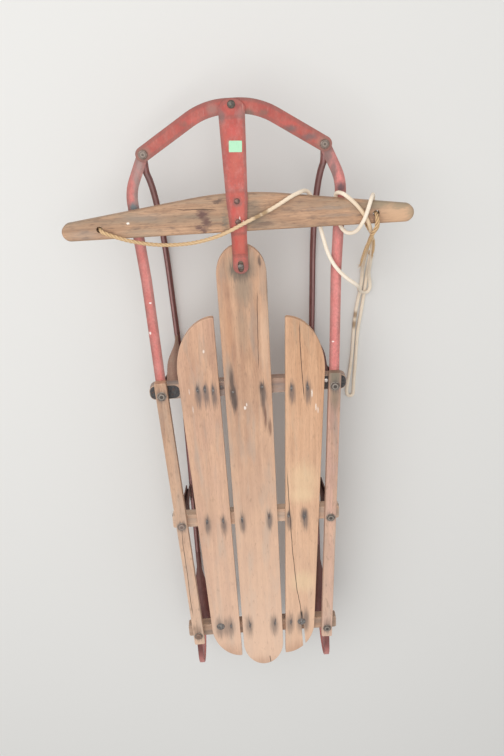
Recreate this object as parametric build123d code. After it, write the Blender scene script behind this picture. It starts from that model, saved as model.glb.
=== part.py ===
from build123d import *

import math
import os

# Steerable runner sled, standing on its two steel runners.
# Millimetres, +Z up from the floor, +Y towards the front, +X to the rider's right.
# The pieces are laid out from the bolt line of the front bench (y = 0), and save() moves
# them so that the origin lies under the middle of the sled's length.

# Deck and wooden frame
DECK_HEIGHT = 168.0
SLAT_THICKNESS = 11.0
BENCH_PITCH = 305.0
BENCH_LENGTH_Y = 30.0
BENCH_THICKNESS = 20.0
BENCH_HALF_SPANS = (190.0, 175.0, 168.0)
BENCH_CORNERS = (12.0, 4.0, 4.0)
RAIL_WIDTH = 23.0
RAIL_THICKNESS = 18.0
RAIL_X_FRONT = 165.5
RAIL_X_REAR = 145.5
RAIL_FRONT_Y = 27.0
RAIL_REAR_OVERHANG = 26.0
REBATE_MARGIN = 1.0
CENTRE_SLAT_WIDTH = 90.0
CENTRE_SLAT_FRONT_Y = 284.0
CENTRE_SLAT_REAR_Y = -714.5
CENTRE_SLAT_FRONT_CURVE = 55.0
CENTRE_SLAT_REAR_CURVE = 65.0
SIDE_SLAT_REAR_Y = -684.5
SIDE_SLAT_FRONT_CURVE = 108.0
SIDE_SLAT_REAR_CURVE = 90.0
SIDE_SLAT_INNER_CORNER = 3.0
SLAT_EDGE = 1.5
FRONT_PLATE_THICKNESS = 2.0
FRONT_PLATE_RIM = 1.0
FRONT_PLATE_INNER_X = 132.0
FRONT_PLATE_CORNER = 11.0

# Steel flat bar and the gap left between pieces that slide on each other
FLAT = 3.0
GAP = 0.3

# Runners, bent from T-section steel
SOLE_WIDTH = 13.0
SOLE_THICKNESS = 3.5
WEB_THICKNESS = 3.0
WEB_HEIGHT = 14.0
RUNNER_X_FRONT = 139.0
RUNNER_X_REAR = 146.0
NOSE_ANGLE = 65.0
NOSE_TOP_BEND = 20.0
NOSE_FLAT_LENGTH = 34.0
HOOK_REAR_Y = -754.0
FLEX_RADIUS = 6.5
FLEX_GAP = 0.4

# Stamped steel knees
KNEE_STEEL = 3.0
KNEE_TOP_WIDTH = 44.0
KNEE_TOP_LENGTH_Y = 26.0
KNEE_FLANGE_DEPTH = 9.0
KNEE_FOOT_WIDTH = 15.0
KNEE_FOOT_LENGTH_Y = 28.0
KNEE_LAP = 6.0
KNEE_LEG_INSET = 4.0
KNEE_HOLLOW = 4.0

# Steering gear
CORNER_X = 151.0
CORNER_Y = 444.0
BOW_APEX_Y = 511.5
BOW_BEND_X = 42.0
BOW_BEND_RADIUS = 120.0
BOW_WIDTH = 25.0
STRIP_WIDTH = 19.0
STRIP_BULGE = (179.0, 383.0)
STRIP_WAIST = (170.0, 225.0)
STRIP_BEND_RADII = (85.0, 150.0)
PIVOT_Y = 245.0
STEER_RANGE = 8.0
CROSSBAR_HALF_LENGTH = 300.0
CROSSBAR_REAR_Y = 311.0
CROSSBAR_FRONT_Y = 375.0
CROSSBAR_TIP_DEPTH = 30.5
CROSSBAR_PEAK_CUT = 5.5
CROSSBAR_THICKNESS = 18.0
CROSSBAR_TIP_INSET = 15.0
CROSSBAR_EDGE = 4.0
ROPE_GAP_UNDER_CROSSBAR = 10.2
ROPE_HOLE_X = 235.0
ROPE_HOLE_Y = 329.0
ROPE_HOLE_RADIUS = 5.5
STRAP_BOLT_YS = (329.0, 364.0)
APEX_BOLT_Y = 514.5
STRAP_FRONT_WIDTH = 44.0
STRAP_MIDDLE_WIDTH = 36.0
STRAP_REAR_WIDTH = 27.0
STRAP_SLOT_LENGTH = 20.0
STRAP_SLOT_WIDTH = 10.0
STRAP_OVERLAP = 6.0
STRAP_FRONT_CURVE = 14.0
STRAP_BEND_RADIUS = 12.0

# Fasteners
BOLT_RADIUS = 3.0
BOLT_HEAD_RADIUS = 7.5
BOLT_HEAD_HEIGHT = 3.5
RIVET_HEAD_ROUND = 2.0
RIVET_TAIL_RADIUS = 5.0
RIVET_TAIL_HEIGHT = 2.0
NUT_RADIUS = 6.5
NUT_HEIGHT = 5.0
PIVOT_BOLT_RADIUS = 4.0
RUNNING_CLEARANCE = 0.05
CORNER_CLEARANCE = 0.25
APEX_CLEARANCE = 1.4

# Tow rope
ROPE_RADIUS = 3.5
KNOT_RADIUS = 8.5
TAIL_KNOT_RADIUS = 6.5
KNOT_FLAT = 2.0

# Levels worked out from the sizes above
BENCH_TOP = DECK_HEIGHT - SLAT_THICKNESS
BENCH_BOTTOM = BENCH_TOP - BENCH_THICKNESS
RAIL_TOP = BENCH_TOP + RAIL_THICKNESS
STRIP_BOTTOM = BENCH_TOP + GAP
STRIP_TOP = STRIP_BOTTOM + FLAT
BOW_BOTTOM = STRIP_TOP + GAP
BOW_TOP = BOW_BOTTOM + FLAT
STRAP_APEX_BOTTOM = BOW_TOP + GAP
STRAP_PIVOT_BOTTOM = DECK_HEIGHT + GAP
CROSSBAR_BOTTOM = STRIP_TOP + ROPE_GAP_UNDER_CROSSBAR
CROSSBAR_TOP = CROSSBAR_BOTTOM + CROSSBAR_THICKNESS
WEB_TOP = SOLE_THICKNESS + WEB_HEIGHT
KNEE_TOP = BENCH_BOTTOM
BENCH_YS = (0.0, -BENCH_PITCH, -2 * BENCH_PITCH)
RAIL_REAR_Y = BENCH_YS[2] - RAIL_REAR_OVERHANG
FRONT_Y = BOW_APEX_Y + BOW_WIDTH / 2
MID_Y = (FRONT_Y + HOOK_REAR_Y) / 2

# Ratio of the side strips' swing to the steering bar's, and of the bow's turn on the left strip
CORNER_SPREAD = CORNER_X - RUNNER_X_FRONT
BOW_TURN = CORNER_SPREAD / CORNER_X
LINK_RATIO = (APEX_BOLT_Y - PIVOT_Y) / (CORNER_Y + BOW_TURN * (APEX_BOLT_Y - CORNER_Y))
BOW_RATIO = (BOW_TURN - 1) * LINK_RATIO

SIDES = (("left", -1), ("right", 1))
PLACES = ("front", "middle", "rear")


def save(name, shape):
    """Write one piece, moved so that the origin is under the middle of the sled."""
    shape.label = name
    export_step(Pos(0, -MID_Y, 0) * shape, "parts/" + name + ".step")


def mirrored(shape, side):
    return mirror(shape, Plane.YZ) if side < 0 else shape


def join(shapes):
    whole = shapes[0]
    for shape in shapes[1:]:
        whole = whole + shape
    return whole


def upright(radius, z_low, z_high, x=0.0, y=0.0):
    """A vertical cylinder between two heights."""
    height = z_high - z_low
    return Pos(x, y, z_low) * Cylinder(radius, height, align=(Align.CENTER, Align.CENTER, Align.MIN))


def block(x_low, x_high, y_low, y_high, z_low, z_high):
    size = (x_high - x_low, y_high - y_low, z_high - z_low)
    return Pos(x_low, y_low, z_low) * Box(*size, align=(Align.MIN, Align.MIN, Align.MIN))


def plate(outline, z_low, z_high):
    """A plan outline made into a plate between two heights."""
    return Pos(0, 0, z_low) * extrude(outline, z_high - z_low)


def rail_x(y):
    share = y / BENCH_YS[2]
    return RAIL_X_FRONT + (RAIL_X_REAR - RAIL_X_FRONT) * share


def runner_x(y):
    share = y / BENCH_YS[2]
    return RUNNER_X_FRONT + (RUNNER_X_REAR - RUNNER_X_FRONT) * share


def flat_bar(path, width, z_low):
    """Flat bar lying level along a plan path, with round ends."""
    start, end = path @ 0, path @ 1
    profile = Plane(origin=start, z_dir=path % 0, x_dir=(0, 0, 1)) * Rectangle(FLAT, width)
    bar = Pos(0, 0, z_low + FLAT / 2) * sweep(profile, path=path)
    ends = [upright(width / 2, z_low, z_low + FLAT, p.X, p.Y) for p in (start, end)]
    return join([bar, *ends])


def bolt(x, y, head_bottom, nut_top, shank=BOLT_RADIUS, head=BOLT_HEAD_RADIUS):
    """Round-headed bolt from above, with its nut below."""
    dome = upright(head, head_bottom, head_bottom + BOLT_HEAD_HEIGHT, x, y)
    dome = fillet(dome.edges().group_by(Axis.Z)[-1], BOLT_HEAD_HEIGHT * 0.7)
    nut = extrude(RegularPolygon(NUT_RADIUS, 6), NUT_HEIGHT)
    nut = Pos(x, y, nut_top - NUT_HEIGHT) * nut
    return join([dome, upright(shank, nut_top - NUT_HEIGHT - 1, head_bottom, x, y), nut])


def centre_slat():
    """The long middle slat, half-elliptic at both ends."""
    half = CENTRE_SLAT_WIDTH / 2
    front_y = CENTRE_SLAT_FRONT_Y - CENTRE_SLAT_FRONT_CURVE
    rear_y = CENTRE_SLAT_REAR_Y + CENTRE_SLAT_REAR_CURVE
    outline = make_face(
        EllipticalCenterArc((0, front_y), half, CENTRE_SLAT_FRONT_CURVE, 0, arc_size=180)
        + Line((-half, front_y), (-half, rear_y))
        + EllipticalCenterArc((0, rear_y), half, CENTRE_SLAT_REAR_CURVE, 180, arc_size=180)
        + Line((half, rear_y), (half, front_y))
    )
    slat = plate(outline, BENCH_TOP, DECK_HEIGHT)
    slat = fillet(slat.edges().group_by(Axis.Z)[-1], SLAT_EDGE)
    return slat - upright(PIVOT_BOLT_RADIUS, BENCH_TOP, DECK_HEIGHT, 0, PIVOT_Y)


# Front end of each side slat, and its inner and outer edge away from the centre line, at the front bench
# and at the rear bench
SIDE_SLAT_EDGES = {
    "left": {"front_y": 151.0, "inner_front": 55.0, "inner_rear": 51.0, "outer_front": 131.0, "outer_rear": 114.0},
    "right": {"front_y": 143.0, "inner_front": 71.0, "inner_rear": 52.0, "outer_front": 146.0, "outer_rear": 117.0},
}

# Open split at the rear end of the right slat, in plan
RIGHT_SPLIT = [(90.2, -592), (88.3, -604), (91.6, -690), (97.9, -690), (94.0, -604)]


def side_slat(name, side):
    """A tapered slat with a quarter-elliptic outer corner at both ends."""
    edges = SIDE_SLAT_EDGES[name]

    def edge_x(which, y):
        front, rear = edges[which + "_front"], edges[which + "_rear"]
        return front + (rear - front) * y / BENCH_YS[2]

    front_y, rear_y = edges["front_y"], SIDE_SLAT_REAR_Y
    front_turn, rear_turn = front_y - SIDE_SLAT_FRONT_CURVE, rear_y + SIDE_SLAT_REAR_CURVE
    inner_front, inner_rear = edge_x("inner", front_y), edge_x("inner", rear_y)
    outer_front, outer_rear = edge_x("outer", front_turn), edge_x("outer", rear_turn)
    outline = make_face(
        EllipticalCenterArc((inner_front, front_turn), outer_front - inner_front, SIDE_SLAT_FRONT_CURVE, 0, arc_size=90)
        + Line((inner_front, front_y), (inner_rear, rear_y))
        + EllipticalCenterArc((inner_rear, rear_turn), outer_rear - inner_rear, SIDE_SLAT_REAR_CURVE, 270, arc_size=90)
        + Line((outer_rear, rear_turn), (outer_front, front_turn))
    )
    corners = outline.vertices().sort_by(Axis.Y)
    outline = fillet([corners[0], corners[-1]], SIDE_SLAT_INNER_CORNER)
    slat = plate(outline, BENCH_TOP, DECK_HEIGHT)
    slat = fillet(slat.edges().group_by(Axis.Z)[-1], SLAT_EDGE)
    if name == "right":
        slat = slat - plate(make_face(Polyline(*RIGHT_SPLIT, close=True)), BENCH_TOP, DECK_HEIGHT)
    return mirrored(slat, side)


def rail(side):
    """Side rail on the bench ends, rebated underneath for the strip in front and the runner's end behind."""
    lean = math.degrees(math.atan2(RAIL_X_FRONT - RAIL_X_REAR, -BENCH_YS[2]))
    length = RAIL_FRONT_Y - RAIL_REAR_Y
    bar = block(-RAIL_WIDTH / 2, RAIL_WIDTH / 2, -length, 0, BENCH_TOP, RAIL_TOP)
    bar = Pos(rail_x(RAIL_FRONT_Y), RAIL_FRONT_Y, 0) * Rot(0, 0, -lean) * bar
    bar = fillet(bar.edges().filter_by(Axis.Z), 3)
    bar = fillet(bar.edges().group_by(Axis.Z)[-1], 1.5)
    across = RAIL_X_FRONT + RAIL_WIDTH
    front_rebate = block(0, across, -BENCH_LENGTH_Y / 2, RAIL_FRONT_Y + 5, BENCH_TOP, STRIP_TOP + GAP)
    rebate_end = BENCH_YS[2] + BENCH_LENGTH_Y / 2 + REBATE_MARGIN
    rear_rebate = block(0, across, RAIL_REAR_Y - 5, rebate_end, BENCH_TOP, BENCH_TOP + SOLE_THICKNESS)
    bar = bar - front_rebate - rear_rebate
    for y in BENCH_YS:
        bar = bar - upright(BOLT_RADIUS, BENCH_TOP, RAIL_TOP, rail_x(y), y)
    return mirrored(bar, side)


def bench(number):
    y, half = BENCH_YS[number], BENCH_HALF_SPANS[number]
    bar = block(-half, half, y - BENCH_LENGTH_Y / 2, y + BENCH_LENGTH_Y / 2, BENCH_BOTTOM, BENCH_TOP)
    bar = fillet(bar.edges().filter_by(Axis.Z), BENCH_CORNERS[number])
    for _, side in SIDES:
        bar = bar - upright(BOLT_RADIUS, BENCH_BOTTOM, BENCH_TOP, side * rail_x(y), y)
        if number == 0:
            bar = bar - front_plate(side)
    return bar


def front_plate(side):
    """Steel wear plate let into the end of the front bench, under the strip that slides there."""
    length = BENCH_HALF_SPANS[0] - FRONT_PLATE_RIM - FRONT_PLATE_INNER_X
    outline = RectangleRounded(length, BENCH_LENGTH_Y - 2 * FRONT_PLATE_RIM, FRONT_PLATE_CORNER)
    outline = Pos(side * (FRONT_PLATE_INNER_X + length / 2), 0) * outline
    bolt_hole = upright(BOLT_RADIUS, BENCH_BOTTOM, BENCH_TOP, side * RAIL_X_FRONT, 0)
    return plate(outline, BENCH_TOP - FRONT_PLATE_THICKNESS, BENCH_TOP) - bolt_hole


def runner_lean():
    return math.degrees(math.atan2(RUNNER_X_REAR - RUNNER_X_FRONT, -BENCH_YS[2]))


def runner_sole(path):
    profile = Plane(origin=path @ 0, z_dir=path % 0, x_dir=(1, 0, 0)) * Rectangle(SOLE_WIDTH, SOLE_THICKNESS)
    return sweep(profile, path=path)


def runner_body():
    """Rear part of a runner in its own plane: sole, web and the hook that turns up to the rear bench."""
    low, high = SOLE_THICKNESS / 2, BENCH_TOP + SOLE_THICKNESS / 2
    radius = (high - low) / 2
    turn_y = HOOK_REAR_Y + radius + SOLE_THICKNESS / 2
    path = (
        Line((0, 0, low), (0, turn_y, low))
        + ThreePointArc((0, turn_y, low), (0, turn_y - radius, low + radius), (0, turn_y, high))
        + Line((0, turn_y, high), (0, BENCH_YS[2] + BENCH_LENGTH_Y / 2, high))
    )
    sole = runner_sole(path)
    web_end = turn_y + 20
    outline = make_face(
        Polyline((0, SOLE_THICKNESS), (0, WEB_TOP), (web_end, WEB_TOP), (web_end - 30, SOLE_THICKNESS), close=True)
    )
    web = extrude(Plane.YZ * outline, WEB_THICKNESS / 2, both=True)
    return sole + web


def nose_path():
    """Centre line of a nose: level, then up at the nose angle, then level under the corner rivet."""
    low = SOLE_THICKNESS / 2
    high = STRIP_BOTTOM - SOLE_THICKNESS / 2
    reach = math.hypot(CORNER_X - RUNNER_X_FRONT, CORNER_Y)
    half_turn = math.tan(math.radians(NOSE_ANGLE / 2))
    rise = high - low
    slope = rise / math.sin(math.radians(NOSE_ANGLE))
    run = rise / math.tan(math.radians(NOSE_ANGLE))
    big = (slope - NOSE_TOP_BEND * half_turn) / half_turn
    top_y = reach - NOSE_FLAT_LENGTH / 2 - NOSE_TOP_BEND * half_turn
    corner_y = top_y - run
    start_y = corner_y - big * half_turn
    end = (0, reach, high)
    path = FilletPolyline((0, 0, low), (0, corner_y, low), (0, top_y, high), end, radius=[big * 0.999, NOSE_TOP_BEND * 0.999])
    return path, start_y, big


def runner_nose():
    path, start_y, big = nose_path()
    sole = runner_sole(path)
    tip = path @ 1
    sole = sole + upright(SOLE_WIDTH / 2, tip.Z - SOLE_THICKNESS / 2, tip.Z + SOLE_THICKNESS / 2, 0, tip.Y)
    inner = big - SOLE_THICKNESS / 2
    centre = (start_y, big + SOLE_THICKNESS / 2)

    def on_arc(angle, depth):
        turn = math.radians(angle)
        return (centre[0] + (inner - depth) * math.sin(turn), centre[1] - (inner - depth) * math.cos(turn))

    outline = make_face(
        Polyline(on_arc(0, 0), (0, SOLE_THICKNESS), (0, WEB_TOP), (start_y, WEB_TOP))
        + ThreePointArc((start_y, WEB_TOP), on_arc(18, WEB_HEIGHT * 0.6), on_arc(36, 0))
        + ThreePointArc(on_arc(36, 0), on_arc(18, 0), on_arc(0, 0))
    )
    web = extrude(Plane.YZ * outline, WEB_THICKNESS / 2, both=True)
    heel = upright(FLEX_RADIUS, 0, SOLE_THICKNESS)
    heel_web = upright(WEB_THICKNESS / 2, SOLE_THICKNESS, WEB_TOP)
    return join([sole, web, heel, heel_web])


def runner(side):
    body = runner_body() - upright(FLEX_RADIUS + FLEX_GAP, -1, WEB_TOP + 1)
    body = Pos(RUNNER_X_FRONT, 0, 0) * Rot(0, 0, runner_lean()) * body
    y = BENCH_YS[2]
    body = body - upright(BOLT_RADIUS, BENCH_TOP, BENCH_TOP + SOLE_THICKNESS, rail_x(y), y)
    return mirrored(body, side)


def nose(side):
    lean = math.degrees(math.atan2(CORNER_X - RUNNER_X_FRONT, CORNER_Y))
    piece = Pos(RUNNER_X_FRONT, 0, 0) * Rot(0, 0, -lean) * runner_nose()
    piece = piece - upright(BOLT_RADIUS, BENCH_BOTTOM, BENCH_TOP + 5, CORNER_X, CORNER_Y)
    return mirrored(piece, side)


def knee_side(high_x, z_high, low_x, z_low, hollow):
    """One side of a knee's leg, hollowed between the flange and the foot."""
    middle = ((high_x + low_x) / 2 + hollow, (z_high + z_low) / 2)
    return ThreePointArc((high_x, z_high), middle, (low_x, z_low))


def knee(number, side):
    """Stamped knee: top flange under the bench, a hollow-sided flanged leg, and a foot along the web."""
    y = BENCH_YS[number]
    top_x, foot_x = rail_x(y), runner_x(y)
    half_x, half_y = KNEE_TOP_WIDTH / 2, KNEE_TOP_LENGTH_Y / 2
    top = block(top_x - half_x, top_x + half_x, y - half_y, y + half_y, KNEE_TOP - KNEE_STEEL, KNEE_TOP)
    top = fillet(top.edges().filter_by(Axis.Z), half_y * 0.9)
    web_face = foot_x + WEB_THICKNESS / 2
    leg_y = y - half_y + KNEE_STEEL
    foot_out = web_face + KNEE_STEEL + KNEE_FOOT_WIDTH / 2
    z_top, z_low = KNEE_TOP - KNEE_STEEL, WEB_TOP + KNEE_STEEL
    inner_top, outer_top = top_x - half_x + KNEE_LEG_INSET, top_x + half_x - KNEE_LEG_INSET
    leg = make_face(
        knee_side(inner_top, z_top, web_face, z_low, KNEE_HOLLOW)
        + Line((web_face, z_low), (foot_out, z_low))
        + knee_side(outer_top, z_top, foot_out, z_low, -KNEE_HOLLOW)
        + Line((outer_top, z_top), (inner_top, z_top))
    )
    leg = extrude(Plane.XZ.offset(-leg_y) * leg, KNEE_STEEL)

    def side_flange(low_x, high_x, hollow, thick):
        outline = make_face(
            knee_side(high_x, z_top, low_x, z_low, hollow)
            + Line((low_x, z_low), (low_x + thick, z_low))
            + knee_side(high_x + thick, z_top, low_x + thick, z_low, hollow)
            + Line((high_x + thick, z_top), (high_x, z_top))
        )
        return extrude(Plane.XZ.offset(-leg_y) * outline, -KNEE_FLANGE_DEPTH)

    inner = side_flange(web_face, inner_top, KNEE_HOLLOW, KNEE_STEEL)
    outer = side_flange(foot_out, outer_top, -KNEE_HOLLOW, -KNEE_STEEL)
    foot_rear, foot_front = leg_y - y - KNEE_FOOT_LENGTH_Y, leg_y - y + KNEE_FLANGE_DEPTH
    half_web = WEB_THICKNESS / 2
    foot = block(half_web, half_web + KNEE_STEEL, foot_rear, foot_front, SOLE_THICKNESS, z_low + KNEE_LAP)
    foot = Pos(foot_x, y, 0) * Rot(0, 0, runner_lean()) * foot
    piece = join([top, leg, inner, outer, foot])
    piece = piece - upright(BOLT_RADIUS, KNEE_TOP - KNEE_STEEL, KNEE_TOP, top_x, y)
    return mirrored(piece, side)


def strip_path():
    corner, rail_end = (CORNER_X, CORNER_Y), (RAIL_X_FRONT, 0)
    return FilletPolyline(corner, STRIP_BULGE, STRIP_WAIST, rail_end, radius=list(STRIP_BEND_RADII))


def side_strip(side):
    bar = flat_bar(strip_path(), STRIP_WIDTH, STRIP_BOTTOM)
    bar = bar - upright(BOLT_RADIUS, STRIP_BOTTOM, STRIP_TOP, CORNER_X, CORNER_Y)
    swing = RAIL_X_FRONT - RUNNER_X_FRONT
    slot_reach = swing * math.sin(math.radians(STEER_RANGE * LINK_RATIO)) + GAP
    slot = SlotCenterToCenter(2 * slot_reach, 2 * (BOLT_RADIUS + GAP), rotation=90)
    bar = bar - Pos(RAIL_X_FRONT, 0, STRIP_BOTTOM) * extrude(slot, FLAT)
    return mirrored(bar, side)


def bow():
    """Flat bar between the corners: straight limbs and a level middle, rounded into each other."""
    corner, bend = (CORNER_X, CORNER_Y), (BOW_BEND_X, BOW_APEX_Y)
    turns = [(-corner[0], corner[1]), (-bend[0], bend[1]), bend, corner]
    path = FilletPolyline(*turns, radius=BOW_BEND_RADIUS)
    bar = flat_bar(path, BOW_WIDTH, BOW_BOTTOM)
    bar = bar - upright(BOLT_RADIUS + RUNNING_CLEARANCE, BOW_BOTTOM, BOW_TOP, -CORNER_X, CORNER_Y)
    bar = bar - upright(BOLT_RADIUS + CORNER_CLEARANCE, BOW_BOTTOM, BOW_TOP, CORNER_X, CORNER_Y)
    return bar - upright(BOLT_RADIUS + APEX_CLEARANCE, BOW_BOTTOM, BOW_TOP, 0, APEX_BOLT_Y)


def rivet(side):
    """Corner rivet down through bow, strip and nose tip, with a round head above and a flat tail below."""
    x, y = side * CORNER_X, CORNER_Y
    low, high = STRIP_BOTTOM - SOLE_THICKNESS, BOW_TOP + GAP
    head = upright(BOLT_HEAD_RADIUS, high, high + BOLT_HEAD_HEIGHT, x, y)
    head = fillet(head.edges().group_by(Axis.Z)[-1], RIVET_HEAD_ROUND)
    tail = upright(RIVET_TAIL_RADIUS, low - RIVET_TAIL_HEIGHT, low, x, y)
    return join([head, upright(BOLT_RADIUS, low, high, x, y), tail])


def crossbar():
    """Steering bar: straight behind, and narrowing from the middle to its round tips in front."""
    rear, tip = CROSSBAR_REAR_Y, CROSSBAR_HALF_LENGTH
    shoulder, front = tip - CROSSBAR_TIP_INSET, rear + CROSSBAR_TIP_DEPTH
    peak = CROSSBAR_FRONT_Y + CROSSBAR_PEAK_CUT
    slope = math.atan2(peak - front, shoulder)
    peak_radius = CROSSBAR_PEAK_CUT / (1 / math.cos(slope) - 1)
    outline = make_face(
        Line((-shoulder, rear), (shoulder, rear))
        + ThreePointArc((shoulder, rear), (tip, (rear + front) / 2), (shoulder, front))
        + FilletPolyline((shoulder, front), (0, peak), (-shoulder, front), radius=peak_radius)
        + ThreePointArc((-shoulder, front), (-tip, (rear + front) / 2), (-shoulder, rear))
    )
    bar = plate(outline, CROSSBAR_BOTTOM, CROSSBAR_TOP)
    groups = bar.edges().group_by(Axis.Z)
    bar = fillet(groups[-1] + groups[0], CROSSBAR_EDGE)
    for _, side in SIDES:
        bar = bar - upright(ROPE_HOLE_RADIUS, CROSSBAR_BOTTOM, CROSSBAR_TOP, side * ROPE_HOLE_X, ROPE_HOLE_Y)
    for y in STRAP_BOLT_YS:
        bar = bar - upright(BOLT_RADIUS, CROSSBAR_BOTTOM, CROSSBAR_TOP, 0, y)
    return bar


def strap():
    """Steering strap: bent over the crossbar, wide at the bow, slotted over the deck pivot."""
    half = FLAT / 2
    end_y = PIVOT_Y - STRAP_REAR_WIDTH / 2
    bow_rear = BOW_APEX_Y - BOW_WIDTH / 2
    path = FilletPolyline(
        (0, end_y, STRAP_PIVOT_BOTTOM + half),
        (0, PIVOT_Y + 20, STRAP_PIVOT_BOTTOM + half),
        (0, CROSSBAR_REAR_Y - 2, CROSSBAR_TOP + half),
        (0, CROSSBAR_FRONT_Y + STRAP_OVERLAP, CROSSBAR_TOP + half),
        (0, bow_rear - 4, STRAP_APEX_BOTTOM + half),
        (0, FRONT_Y, STRAP_APEX_BOTTOM + half),
        radius=STRAP_BEND_RADIUS,
    )
    profile = Plane(origin=path @ 0, z_dir=path % 0, x_dir=(1, 0, 0)) * Rectangle(STRAP_FRONT_WIDTH + 10, FLAT)
    sheet = sweep(profile, path=path)
    front, middle, rear = STRAP_FRONT_WIDTH / 2, STRAP_MIDDLE_WIDTH / 2, STRAP_REAR_WIDTH / 2
    neck_y, waist_y, front_y = CROSSBAR_REAR_Y - 5, CROSSBAR_FRONT_Y - 8, FRONT_Y - STRAP_FRONT_CURVE
    outline = make_face(
        Polyline((rear, PIVOT_Y), (rear, neck_y), (middle, waist_y), (front, front_y))
        + ThreePointArc((front, front_y), (0, FRONT_Y), (-front, front_y))
        + Polyline((-front, front_y), (-middle, waist_y), (-rear, neck_y), (-rear, PIVOT_Y))
        + ThreePointArc((-rear, PIVOT_Y), (0, end_y), (rear, PIVOT_Y))
    )
    piece = sheet & plate(outline, BENCH_BOTTOM, CROSSBAR_TOP + 10)
    slot = SlotOverall(STRAP_SLOT_LENGTH, STRAP_SLOT_WIDTH, rotation=90)
    piece = piece - Pos(0, PIVOT_Y, STRAP_PIVOT_BOTTOM - 1) * extrude(slot, FLAT + 2)
    for y in (*STRAP_BOLT_YS, APEX_BOLT_Y):
        piece = piece - upright(BOLT_RADIUS, BENCH_BOTTOM, CROSSBAR_TOP + 10, 0, y)
    return piece


# Route of the tow rope, chosen by hand: from the knot under the left hole along the steering bar and under
# it, over the right strip and down to the floor, round both limbs of the long bight and back up, twice
# round the bar, down through the right hole to the bight, and back along it to the tail knot.
ROPE_ROUTE = [
    (-235, 329, 170.2), (-235, 329, 198), (-213, 318, 195), (-187, 308, 193.5), (-157, 298, 184),
    (-123.5, 292.5, 178), (-85.5, 293.5, 180), (-52, 301, 188), (-21, 313, 198), (14.5, 330.5, 199.5),
    (45.5, 343, 197.5), (71, 356, 195.5), (92, 368, 194), (107, 372, 185), (116, 372, 173.5),
    (124, 366, 165.8), (134, 342, 165.4), (142, 305, 165.6), (147, 286, 166.2), (153, 263, 167.5),
    (162, 242, 171), (174.5, 225, 173.5), (189, 211, 173.5), (203, 200, 170), (213, 188, 152),
    (218, 174, 118), (225, 157, 80), (234, 140, 40), (244, 128, 15), (255, 126, 10), (260.5, 137, 9),
    (257.5, 155, 13), (252, 176, 32), (247, 207, 76), (241, 242, 120), (237, 271, 148),
    (229.5, 292.5, 177), (225, 304, 189.5), (220, 319, 194), (210, 334.5, 192.8),
    (199.5, 347.5, 192.6), (187.5, 359, 192.6), (178, 366, 188.5), (171, 366, 176), (168, 360, 165.6),
    (170, 336, 165.2), (175, 307, 165.4), (185, 294.5, 170), (194.5, 294.5, 179), (203, 301.5, 189),
    (208, 313, 198), (214, 326, 201.5), (220, 344, 200.5), (224.5, 356, 195.5), (229, 358.5, 184),
    (232, 358, 171), (234, 350, 160.5), (235, 329, 159.5), (235, 329, 200), (234, 309, 200.5),
    (228.5, 297, 196), (227, 288.5, 186), (229, 268, 152), (234, 241, 105), (239.5, 201, 45),
    (243, 172, 11), (243, 144.5, 4.2), (238, 118, 4), (232, 88, 4.2), (228, 53.5, 4), (226, 8.5, 4.2),
    (222, -35.5, 4), (217.5, -70, 4.2), (214, -92, 4), (214, -111, 4.2), (228, -111, 4),
    (228.5, -92, 4.2), (229.5, -65, 4), (232.5, -29, 4.2), (234, 8, 4), (236.5, 44, 4.2),
    (242.5, 80, 4), (247.5, 114, 4.2), (251, 142, 4), (255, 175, 4.2), (259, 203, 7),
]


def route_radii(points):
    """Bend radius at each inner point: as large as its two runs allow."""
    radii = []
    for before, here, after in zip(points, points[1:], points[2:]):
        first, second = Vector(*here) - Vector(*before), Vector(*after) - Vector(*here)
        turn = math.radians(first.get_angle(second))
        radii.append(0.45 * min(first.length, second.length) / math.tan(turn / 2))
    return radii


def rope():
    path = FilletPolyline(*ROPE_ROUTE, radius=route_radii(ROPE_ROUTE))
    profile = Plane(origin=path @ 0, z_dir=path % 0) * Circle(ROPE_RADIUS)
    return sweep(profile, path=path)


def knot(end, before, radius):
    """A stopper knot on a rope end, flattened where that end meets it."""
    end = Vector(*end)
    outwards = (end - Vector(*before)).normalized()
    ball = Pos(end + outwards * (radius - KNOT_FLAT)) * Sphere(radius)
    return split(ball, bisect_by=Plane(origin=end, z_dir=outwards), keep=Keep.TOP)


os.makedirs("parts", exist_ok=True)

save("deck_slat_centre", centre_slat())
for number, place in enumerate(PLACES):
    save("cross_bench_" + place, bench(number))
for name, side in SIDES:
    save("deck_slat_" + name, side_slat(name, side))
    save("side_rail_" + name, rail(side))
    save("runner_" + name, runner(side))
    save("runner_nose_" + name, nose(side))
    save("side_strip_" + name, side_strip(side))
    save("corner_rivet_" + name, rivet(side))
    for number, place in enumerate(PLACES):
        save("knee_" + place + "_" + name, knee(number, side))

rail_bolts = [
    bolt(side * rail_x(y), y, RAIL_TOP, KNEE_TOP - KNEE_STEEL) for y in BENCH_YS for _, side in SIDES
]
save("rail_bolts", Compound(rail_bolts))
save("front_bench_plates", Compound([front_plate(side) for _, side in SIDES]))
save("pivot_bolt", bolt(0, PIVOT_Y, STRAP_PIVOT_BOTTOM + FLAT + GAP, BENCH_TOP, PIVOT_BOLT_RADIUS))
save("front_bow", bow())
save("steering_crossbar", crossbar())
save("steering_strap", strap())
save("crossbar_bolts", Compound([bolt(0, y, CROSSBAR_TOP + FLAT, CROSSBAR_BOTTOM) for y in STRAP_BOLT_YS]))
save("apex_bolt", bolt(0, APEX_BOLT_Y, STRAP_APEX_BOTTOM + FLAT, BOW_BOTTOM - GAP))
save("tow_rope", rope())
save("rope_knot_left", knot(ROPE_ROUTE[0], ROPE_ROUTE[1], KNOT_RADIUS))
save("rope_knot_tail", knot(ROPE_ROUTE[-1], ROPE_ROUTE[-2], TAIL_KNOT_RADIUS))
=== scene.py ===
import math
import random

import bpy
from mathutils import Matrix, Vector


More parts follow.
